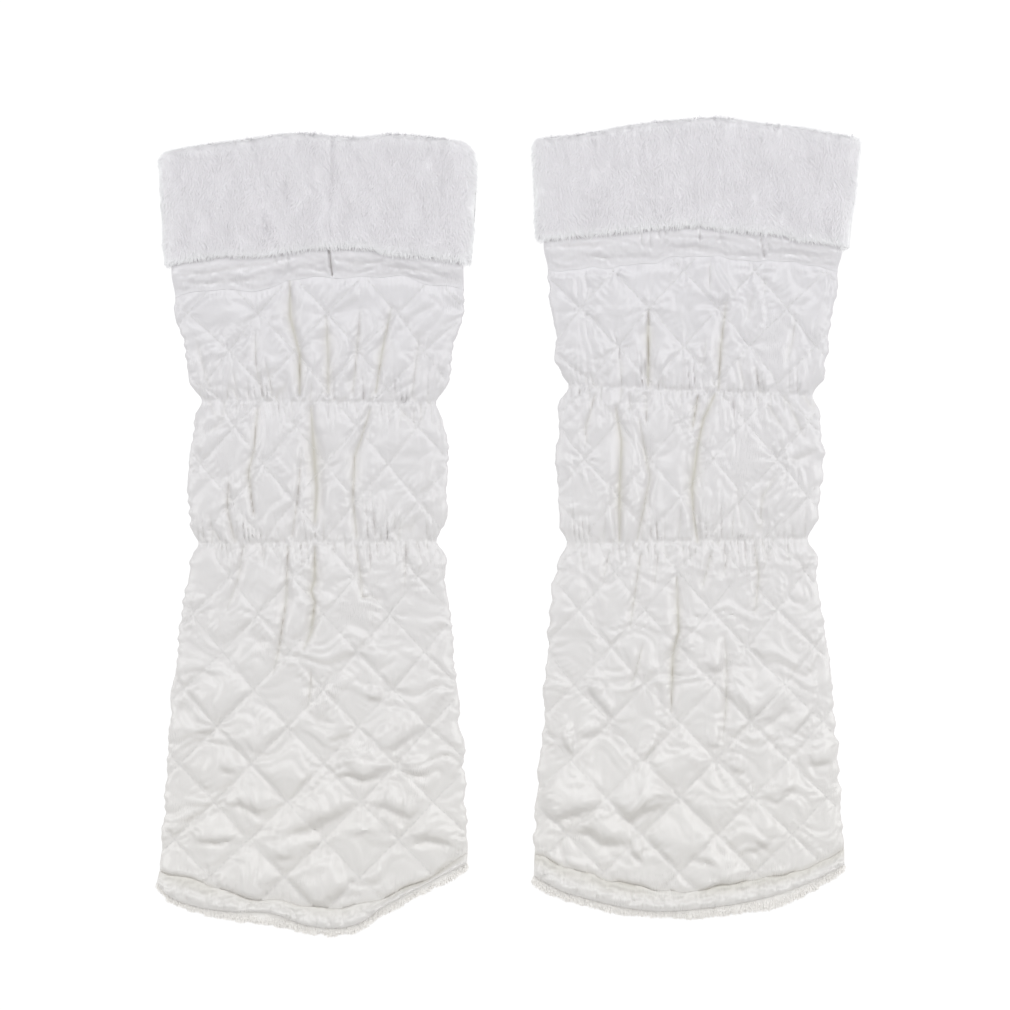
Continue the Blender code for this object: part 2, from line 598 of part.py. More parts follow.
# ---------------------------------------------------------------- the pair
def build_leg(leg, collection, parent):
    """Add every piece of one leg warmer."""
    front, back = shell_columns(leg), back_columns()
    pieces = (
        ("front_shell", SATIN, front_shell(leg, front)),
        ("back_shell", SATIN, back_shell(leg, back)),
        ("front_band", BAND_SATIN, satin_band(leg, front, True)),
        ("back_band", BAND_SATIN, satin_band(leg, back, False)),
        ("front_cuff", PLUSH, plush_cuff(leg, 18, True)),
        ("back_cuff", PLUSH, plush_cuff(leg, 11, False)),
        ("front_hem", SATIN, hem_band(leg, front, True)),
        ("back_hem", SATIN, hem_band(leg, back, False)),
        ("front_lining", LINING_PLUSH, lining(leg, front, True)),
        ("back_lining", LINING_PLUSH, lining(leg, back, False)),
    )
    for name, finish, mesh in pieces:
        cloth(f"{leg.side}_{name}", finish, mesh, collection, parent)


def build():
    """Build the pair."""
    for item in list(bpy.data.objects):
        bpy.data.objects.remove(item, do_unlink=True)
    collection = bpy.data.collections.new("quilted_leg_warmers")
    bpy.context.scene.collection.children.link(collection)
    pair = bpy.data.objects.new("pair", None)
    collection.objects.link(pair)
    for leg in (LEFT, RIGHT):
        build_leg(leg, collection, pair)


build()
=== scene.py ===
"""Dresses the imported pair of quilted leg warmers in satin, plush, quilting and stitches.

Lengths are millimetres until a mesh is made.  X runs across the pair, Y along the legs towards the
cuffs and Z up from the surface that they lie on, as in the solids.
"""
import logging
from collections.abc import Callable, Iterable, Sequence
from dataclasses import dataclass
from enum import Enum
from math import cos, pi, radians, sin, sqrt

import bpy
import numpy as np
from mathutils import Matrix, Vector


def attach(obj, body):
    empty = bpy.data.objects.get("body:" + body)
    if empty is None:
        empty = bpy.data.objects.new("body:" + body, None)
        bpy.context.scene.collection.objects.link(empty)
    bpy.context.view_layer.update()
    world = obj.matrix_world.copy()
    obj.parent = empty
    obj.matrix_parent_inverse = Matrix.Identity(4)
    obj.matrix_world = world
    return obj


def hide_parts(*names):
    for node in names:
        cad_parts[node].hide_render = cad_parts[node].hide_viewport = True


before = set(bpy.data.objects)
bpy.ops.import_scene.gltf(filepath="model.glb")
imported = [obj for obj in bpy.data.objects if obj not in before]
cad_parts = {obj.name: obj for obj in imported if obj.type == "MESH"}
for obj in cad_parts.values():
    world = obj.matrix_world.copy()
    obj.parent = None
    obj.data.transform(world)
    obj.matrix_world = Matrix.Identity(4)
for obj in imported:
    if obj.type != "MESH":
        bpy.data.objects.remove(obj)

LOG = logging.getLogger("leg_warmers")
MM = 0.001
SHARP_ANGLE = radians(60)
PHOTO_PIXELS = 1010
MM_PER_PIXEL = 0.5243

Pair = tuple[float, float]
Row = tuple[float, float, float]
Colour = tuple[float, float, float]
Grid = np.ndarray

# Heights and walls shared with the solids
SEAM_GAP = 0.3
SHELL_MIDDLE = 5.0
CUFF_MIDDLE = 9.0
STITCH_WALL = 2.7
LEAST_WALL = 1.5
EDGE_WALL = 1.3
EDGE_ROUND = 8.0
HALF_DIAMOND_WIDE = 0.2435  # a share of half the leg's width
HALF_DIAMOND_HIGH = 19.71

# The quilting on the front, in millimetres
HALF_DIAMOND_SPAN = 17.5
LINE_SPACING = 26.0
LOW_START = -30.0
LOW_REACH = 70.0
SOFT_FLOOR = 0.35


class Face(Enum):
    """The side of a flattened tube."""

    FRONT = "front"
    BACK = "back"

    @property
    def up(self) -> int:
        """1 where the face looks up and -1 where it looks down."""
        return 1 if self is Face.FRONT else -1


class Slot(Enum):
    """The record's material slots."""

    QUILTED = "quilted_satin"
    PLAIN = "plain_satin"
    PLUSH = "plush"
    LINING = "lining_plush"


# ---------------------------------------------------------------- curves and easing
@dataclass(frozen=True)
class Curve:
    """A smooth curve through (place, value) knots, level beyond its ends."""

    knots: tuple[Pair, ...]

    def __call__(self, at: Grid | float) -> Grid:
        """Values at some places.

        Args:
            at: The places.

        Returns:
            The curve's value at each.
        """
        place, value = np.array(self.knots, float).T
        at = np.clip(np.asarray(at, float), place[0], place[-1])
        start = np.clip(np.searchsorted(place, at, side="right") - 1, 0, len(place) - 2)
        low, high, first, second = place[start], place[start + 1], value[start], value[start + 1]
        before, after = np.maximum(start - 1, 0), np.minimum(start + 2, len(place) - 1)
        span = high - low
        t = (at - low) / span
        slope_in = (second - value[before]) / (high - place[before]) * span
        slope_out = (value[after] - first) / (place[after] - low) * span
        return (first * (1 + 2 * t) * (1 - t) ** 2 + slope_in * t * (1 - t) ** 2
                + second * t * t * (3 - 2 * t) + slope_out * t * t * (t - 1))


def mix(first: Grid | float, second: Grid | float, share: Grid | float) -> Grid:
    """The value a share of the way from first to second."""
    return first + (second - first) * share


def ease(value: Grid | float) -> Grid:
    """A smooth step from 0 to 1."""
    value = np.clip(value, 0.0, 1.0)
    return value * value * (3 - 2 * value)


def bell(distance: Grid, reach: float) -> Grid:
    """A bell curve of height 1."""
    return np.exp(-(distance / reach) ** 2)


def round_off(distance: Grid, reach: float) -> Grid:
    """A quarter circle that rises from 0 at an edge to 1 at its reach."""
    return np.sqrt(np.maximum(1 - np.maximum(1 - distance / reach, 0.0) ** 2, 0.0))


def swell(x: Grid, y: Grid, length: float, seed: int, waves: int = 7) -> Grid:
    """Smooth unevenness of about unit height.

    Args:
        x: Places across.
        y: Places along.
        length: About how long a swell is.
        seed: Draws its waves.
        waves: How many waves are laid over each other.

    Returns:
        The height of the swells at each place.
    """
    draw = np.random.default_rng(seed)
    total = np.zeros(np.broadcast(x, y).shape)
    for _ in range(waves):
        turn, phase = draw.uniform(0, 2 * pi, 2)
        pace = 2 * pi / (length * draw.uniform(0.7, 1.5))
        total = total + np.sin(pace * (x * cos(turn) + y * sin(turn)) + phase)
    return total * sqrt(2 / waves)


def ripple(x: Grid, length: float, seed: int, waves: int = 7) -> Grid:
    """Smooth unevenness that changes only across."""
    return swell(x, 0 * x, length, seed, waves)


def cusps(angle: Grid, power: float = 1.0) -> Grid:
    """Folds from 0 to 1, round on top and sharp wherever the angle is a whole number of half turns."""
    return np.abs(np.sin(angle)) ** power


def lots(first: Grid, second: Grid, seed: int, paces: tuple[float, float, float]) -> Grid:
    """A number from 0 to 1 for each pair of whole numbers, as if drawn by lot."""
    return np.modf(np.abs(np.sin(first * paces[0] + second * paces[1] + seed) * paces[2]))[0]


def lowness(y: Grid) -> Grid:
    """0 above the lower third of the leg, rising to 1 near the hem."""
    return ease((LOW_START - y) / LOW_REACH)


@dataclass(frozen=True)
class Crease:
    """A soft trough in cloth: the line of its bottom, with its depth and width."""

    depth: float
    reach: float
    line: tuple[Pair, ...]
    ends: Pair = (0.3, 0.9)

    def strength(self, x: Grid, y: Grid) -> tuple[Grid, Grid, Grid]:
        """How far places are from the crease and how strong it is beside them.

        Args:
            x: Places across.
            y: Places along.

        Returns:
            The distance, a strength from 0 to 1, and how much of the line has passed.
        """
        nearest = np.full(np.broadcast(x, y).shape, np.inf)
        run, done = np.zeros_like(nearest), 0.0
        for (x0, y0), (x1, y1) in zip(self.line, self.line[1:]):
            step = np.hypot(x1 - x0, y1 - y0)
            along = np.clip(((x - x0) * (x1 - x0) + (y - y0) * (y1 - y0)) / step ** 2, 0, 1)
            away = np.hypot(x - mix(x0, x1, along), y - mix(y0, y1, along))
            closer = away < nearest
            nearest = np.where(closer, away, nearest)
            run = np.where(closer, done + along * step, run)
            done += step
        return nearest, self.fade(run / done), run / done

    def fade(self, share: Grid) -> Grid:
        """How strong the crease is at shares of its line."""
        first, last = self.ends
        return (1 - (1 - first) * np.maximum(1 - share / 0.4, 0) ** 2
                - (1 - last) * np.maximum(1 - (1 - share) / 0.4, 0) ** 2)

    def trough(self, x: Grid, y: Grid) -> tuple[Grid, Grid]:
        """Change of height over the crease, and how much of it is deep.

        Args:
            x: Places across.
            y: Places along.

        Returns:
            Heights to add, and painted shade from 0 to 1 along the trough.
        """
        far, strong, share = self.strength(x, y)
        swollen = 0.3 + 0.55 * np.clip((self.depth - 2) / 1.6, 0, 1)
        reach = self.reach * (0.6 + swollen * np.sin(pi * share) ** 0.8)
        reach = reach * (1 + 0.22 * np.sin(12 * share + self.line[0][0]))
        dip = 0.45 * bell(far, reach) + 0.55 * np.exp(-far / (0.27 * reach))
        lips = 0.25 * bell(far - 1.9 * reach, 1.1 * reach)
        # Painted shade, deepest along the crease's bottom.
        deep = np.clip((self.depth - 0.9) / 2.4, 0.15, 1) * strong * np.exp(-far / (0.33 * reach))
        return self.depth * strong * (lips - dip), deep

    def hang(self, x: Grid, y: Grid) -> Grid:
        """Change of height where the cloth hangs over a line that runs from left to right.

        Args:
            x: Places across.
            y: Places along.

        Returns:
            Heights to add.
        """
        line_x, line_y = np.array(self.line, float).T
        away = self.strength(x, y)[0] * np.sign(y - np.interp(x, line_x, line_y))
        share = np.clip((x - line_x[0]) / (line_x[-1] - line_x[0]), 0, 1)
        strong = self.fade(share) * np.sin(pi * share) ** 0.6
        up = np.maximum(away, 0) / (1.6 * self.reach)
        return self.depth * strong * (1.15 * up * np.exp(1 - up) - 0.4 * bell(away, 0.7 * self.reach))


# ---------------------------------------------------------------- the legs' plans
@dataclass(frozen=True)
class LegPlan:
    """Outlines, seams and creases of one leg warmer.

    The tube and cuff rows are (y, left x, right x).  A share runs from -1 at the left side to 1 at the
    right.  The lattice is the share and y of a crossing of two quilting lines.  Sags are folds that hang
    over towards the hem, drawn from left to right.  Pockets are the x, y and strength of diamonds that sag
    more or less than the others.
    """

    side: str
    tube: tuple[Row, ...]
    cuff: tuple[Row, ...]
    cuff_top: Curve
    cuff_lip: Curve
    band_seam: Curve
    hem_seam: Curve
    hem_edge: Curve
    lining_edge: Curve
    elastics: tuple[Pair, Pair]
    lattice: Pair
    shell_creases: tuple[Crease, ...]
    band_creases: tuple[Crease, ...]
    plush_creases: tuple[Crease, ...]
    sags: tuple[Crease, ...]
    pockets: tuple[Row, ...]
    seed: int
    notch_depth: float = 5.0
    notch_reach: float = 6.0
    scallop: float = 0.7

    def elastic_y(self, line: Pair, share: Grid) -> Grid:
        """Y of an elastic line at shares across the leg."""
        return mix(line[0], line[1], (share + 1) / 2)

    def sides(self, rows: Sequence[Row], y: Grid) -> tuple[Grid, Grid]:
        """Both sides of the leg.

        Args:
            rows: The tube's or the cuff's rows.
            y: Places along.

        Returns:
            The left and the right x at each.
        """
        left = Curve(tuple((row[0], row[1]) for row in rows))
        right = Curve(tuple((row[0], row[2]) for row in rows))
        return left(y), right(y)

    def tube_x(self, share: Grid, y: Grid) -> Grid:
        """X on the tube, drawn in at the elastics and pushed out by the puffs.

        Args:
            share: Shares across.
            y: Places along.

        Returns:
            The x of each place.
        """
        left, right = self.sides(self.tube, y)
        drawn = sum(self.notch_depth * bell(y - self.elastic_y(line, share), self.notch_reach)
                    for line in self.elastics)
        pushed = self.scallop * np.abs(np.sin(pi * (y - self.lattice[1]) / HALF_DIAMOND_HIGH / 2))
        return (left + right) / 2 + share * ((right - left) / 2 - drawn + pushed - self.scallop / 2)

    def seam_at(self, seam: Curve, x: Grid) -> Grid:
        """Y of a cross seam, which ripples a little, at places across."""
        return seam(x) + 0.45 * ripple(x, 15, self.seed + 71, 4)

    def seam_y(self, seam: Curve, share: Grid) -> Grid:
        """Y of a cross seam at shares across the leg."""
        middle = sum(knot[1] for knot in seam.knots) / len(seam.knots)
        return self.seam_at(seam, self.tube_x(share, np.full(np.shape(share), middle)))

    def side_distance(self, share: Grid, y: Grid) -> Grid:
        """How far places on the tube are from the nearer side."""
        left, right = self.sides(self.tube, y)
        return (1 - np.abs(share)) * (right - left) / 2

    def lattice_cells(self, share: Grid, y: Grid) -> tuple[Grid, Grid]:
        """The two diagonal quilting counts; a line runs wherever one is whole.

        Args:
            share: Shares across.
            y: Places along.

        Returns:
            Both counts at each place.
        """
        across = (share - self.lattice[0]) / HALF_DIAMOND_WIDE
        along = (y - self.lattice[1]) / HALF_DIAMOND_HIGH
        return (across + along) / 2, (across - along) / 2

    def off_quilting(self, share: Grid, y: Grid) -> Grid:
        """How far places are from the nearest quilting line."""
        one, two = self.lattice_cells(share, y)
        return np.minimum(np.abs(one - np.round(one)), np.abs(two - np.round(two))) * LINE_SPACING

    def hem_shade(self, x: Grid) -> Grid:
        """How strongly painted shade darkens and yellows the satin along the hem seam, from 0 to 1."""
        return ease(0.5 + 0.6 * ripple(x, 70, self.seed + 58, 3))


LEFT = LegPlan(
    side="left",
    tube=((-190, -184.6, -22.0), (-165, -182.2, -22.1), (-140, -180.4, -23.2), (-106, -178.5, -26.0),
          (-75, -175.5, -28.2), (-50, -172.5, -30.5), (-25, -168.6, -33.6), (0, -167.6, -33.6),
          (32, -167.0, -33.4), (60, -165.8, -34.0), (82, -168.2, -32.0), (108, -173.5, -26.0),
          (136, -177.0, -22.3)),
    cuff=((136, -181.1, -19.7), (146, -181.7, -18.9), (160, -181.5, -17.9), (171, -182.7, -16.8),
          (182, -184.0, -17.0), (206, -183.9, -17.0)),
    cuff_top=Curve(((-184, 190), (-180, 195.5), (-170, 198.5), (-135, 203.5), (-110, 206.5),
                    (-90, 205.0), (-78, 204.2), (-62, 206.0), (-36, 203.8), (-22, 200.6), (-17, 195))),
    cuff_lip=Curve(((-181, 136), (-174, 136.6), (-157, 140), (-126, 140.6), (-112, 143), (-94, 144.6),
                    (-71, 144), (-60, 141), (-42, 140), (-20, 137))),
    band_seam=Curve(((-176, 120.3), (-155, 123.8), (-126, 124.2), (-114, 130.3), (-94, 130.6),
                     (-59, 131), (-41, 127), (-24, 124))),
    hem_seam=Curve(((-184, -181), (-163, -187), (-133, -196.2), (-116, -196.8), (-97, -200.6),
                    (-79, -198.2), (-63, -194), (-49, -188), (-33, -179.5), (-22, -171.6))),
    hem_edge=Curve(((-185, -187), (-179, -194), (-163, -200), (-145, -202.4), (-126, -203),
                    (-107, -209.3), (-91, -211), (-78, -208.2), (-67, -200.4), (-57, -195),
                    (-37, -184.3), (-22.2, -177))),
    lining_edge=Curve(((-185, -189.5), (-178, -196.8), (-163, -202.6), (-140, -207.4), (-120, -210.2),
                       (-97, -214.4), (-84, -213.6), (-77, -211), (-70, -205.8), (-58, -200),
                       (-47, -193.4), (-34, -187.2), (-22, -179.6))),
    elastics=((66.0, 64.8), (-9.1, -7.8)),
    lattice=(-0.67, -26.1),
    shell_creases=(
        Crease(1.2, 2.6, ((-145, 82), (-142, 67))),
        Crease(1.6, 2.4, ((-133, 102), (-133, 87), (-131, 76), (-129, 68))),
        Crease(1.6, 2.4, ((-128, 87), (-124, 68))),
        Crease(3.4, 2.8, ((-115, 129), (-115, 110), (-110, 90), (-110, 69)), (0.5, 0.9)),
        Crease(2.6, 4.0, ((-96, 110), (-95, 90), (-95, 70))),
        Crease(1.8, 3.0, ((-78, 114), (-80, 90), (-82, 70))),
        Crease(2.8, 2.8, ((-62, 114), (-67, 90), (-70, 70))),
        Crease(1.4, 2.8, ((-47, 100), (-51, 67))),
        Crease(1.2, 3.4, ((-165, 100), (-157, 72))),
        Crease(4.2, 3.8, ((-104, 62), (-103, 47), (-102, 31), (-101, 20), (-102, 2)), (0.7, 0.7)),
        Crease(2.4, 2.6, ((-132, 62), (-134, 40), (-137, 28), (-134, 6)), (0.8, 0.8)),
        Crease(2.6, 2.7, ((-73, 61), (-78, 45), (-81, 37), (-82, 14), (-80, -6)), (0.8, 0.8)),
        Crease(1.8, 2.2, ((-109, 40), (-111, 14), (-114, -6))),
        Crease(2.0, 2.5, ((-147, 25), (-148, 9), (-144, -8))),
        Crease(1.2, 2.0, ((-157, 7), (-156, -6))),
        Crease(1.3, 2.0, ((-71, 9), (-70, -5))),
        Crease(1.3, 2.0, ((-60, 8), (-60, -5))),
        Crease(1.1, 3.0, ((-150, 56), (-157, 49)), (0.8, 0.2)),
        Crease(1.2, 2.2, ((-50, 61), (-50, 52)), (0.9, 0.3)),
        Crease(3.2, 3.0, ((-102, -11), (-102, -28), (-104, -34), (-102, -40), (-104, -56), (-108, -65)),
               (0.9, 0.4)),
        Crease(1.6, 2.6, ((-104, -76), (-104, -83), (-106, -97)), (0.5, 0.2)),
        Crease(2.2, 2.6, ((-116, -11), (-117, -39), (-121, -65), (-124, -78)), (0.9, 0.2)),
        Crease(1.5, 2.4, ((-140, -12), (-142, -27), (-149, -46)), (0.9, 0.2)),
        Crease(1.9, 2.6, ((-80, -11), (-78, -27), (-77, -37), (-67, -38)), (0.9, 0.3)),
        Crease(1.4, 2.3, ((-54, -12), (-55, -34)), (0.9, 0.2)),
        Crease(1.2, 2.0, ((-129, -11), (-129, -20)), (0.9, 0.2)),
    ),
    band_creases=(
        Crease(3.2, 0.8, ((-94.2, 146), (-93.6, 138), (-92.8, 131)), (1, 0.8)),
        Crease(1.1, 1.4, ((-122.5, 144), (-121.6, 136)), (0.8, 0.3)),
        Crease(0.9, 1.2, ((-119, 144), (-118.4, 135)), (0.8, 0.3)),
        Crease(0.9, 1.2, ((-115.6, 144), (-116, 133)), (0.8, 0.5)),
        Crease(0.9, 2.2, ((-176, 131), (-158, 132.5), (-140, 135.5), (-124, 136)), (0.5, 0.3)),
        Crease(0.7, 2.0, ((-168, 126.5), (-150, 128), (-128, 129.5)), (0.4, 0.6)),
        Crease(0.8, 1.4, ((-104, 135), (-99, 133.4), (-95, 133)), (0.4, 0.8)),
        Crease(0.8, 1.7, ((-91, 139), (-80, 137), (-64, 138.5)), (0.5, 0.4)),
        Crease(1.2, 1.3, ((-58, 132.6), (-52, 130.4), (-42, 128)), (0.4, 0.5)),
        Crease(0.8, 1.8, ((-62, 136), (-48, 134), (-34, 131)), (0.5, 0.5)),
    ),
    plush_creases=(
        Crease(1.7, 3.0, ((-91.8, 206), (-91.8, 190), (-92.4, 176), (-94, 160), (-93.5, 146)), (1, 0.6)),
        Crease(1.0, 2.6, ((-116, 184), (-116, 166)), (0.2, 0.2)),
        Crease(0.9, 2.6, ((-126, 181), (-127, 168)), (0.2, 0.2)),
        Crease(1.3, 2.6, ((-129, 163), (-125, 152), (-120, 144)), (0.2, 0.8)),
        Crease(0.9, 2.6, ((-140, 157), (-134, 148)), (0.2, 0.5)),
        Crease(0.9, 3.0, ((-34.4, 199), (-35.4, 160)), (0.5, 0.3)),
    ),
    sags=(
        Crease(1.3, 3.4, ((-148.8, -148.8), (-141.6, -146.2), (-133.3, -150.4), (-125.0, -150.9)),
               (0.2, 0.4)),
        Crease(1.3, 4.0, ((-106.3, -155.6), (-91.8, -154.0), (-78.3, -146.7)), (0.3, 0.3)),
        Crease(1.4, 4.2, ((-121.9, -166.4), (-115.7, -161.8), (-102.2, -159.4), (-89.7, -156.1)), (0.2, 0.5)),
        Crease(1.9, 3.4, ((-89.7, -131.2), (-83.5, -131.0), (-76.3, -133.5), (-59.7, -127.6)), (0.5, 0.3)),
        Crease(1.2, 3.2, ((-57.6, -128.1), (-49.3, -131.2), (-40.0, -131.2)), (0.4, 0.1)),
        Crease(1.3, 3.4, ((-73.2, -147.8), (-64.9, -147.8), (-52.4, -153.5), (-45.2, -149.3)), (0.2, 0.6)),
        Crease(1.4, 2.4, ((-165.4, -165.9), (-153.0, -166.2), (-140.5, -164.6)), (0.3, 0.3)),
        Crease(1.5, 3.6, ((-53.5, -168.0), (-43.1, -164.9), (-27.5, -168.0)), (0.3, 0.7)),
        Crease(0.7, 2.2, ((-86.6, -164.9), (-74.2, -160.7), (-65.9, -163.8)), (0.1, 0.4)),
        Crease(1.0, 3.2, ((-123.9, -174.2), (-110.5, -174.7)), (0.3, 0.1)),
        Crease(1.0, 3.2, ((-96.0, -113.6), (-89.7, -112.0), (-81.4, -109.4)), (0.4, 0.1)),
        Crease(0.8, 3.0, ((-166.4, -109.9), (-153.0, -108.4)), (0.2, 0.2)),
        Crease(1.0, 3.2, ((-69.0, -116.2), (-60.7, -117.7), (-54.5, -113.1), (-43.1, -105.3)), (0.2, 0.4)),
        Crease(0.8, 2.6, ((-74.2, -91.8), (-65.9, -90.8)), (0.2, 0.2)),
        Crease(0.9, 3.0, ((-153.0, -128.1), (-141.6, -130.2)), (0.2, 0.2)),
    ),
    pockets=((-150.9, -98, 1.0), (-132.2, -119, 1.0), (-154, -136, 0.9), (-133.3, -186, 1.3),
             (-98, -191, 1.25), (-115.6, -173, 1.05), (-167, -178, 1.0), (-60.7, -111, 0.9),
             (-61.7, -79, 0.7), (-115.6, -137, 0.75), (-78.3, -139, 0.8)),
    seed=3,
)

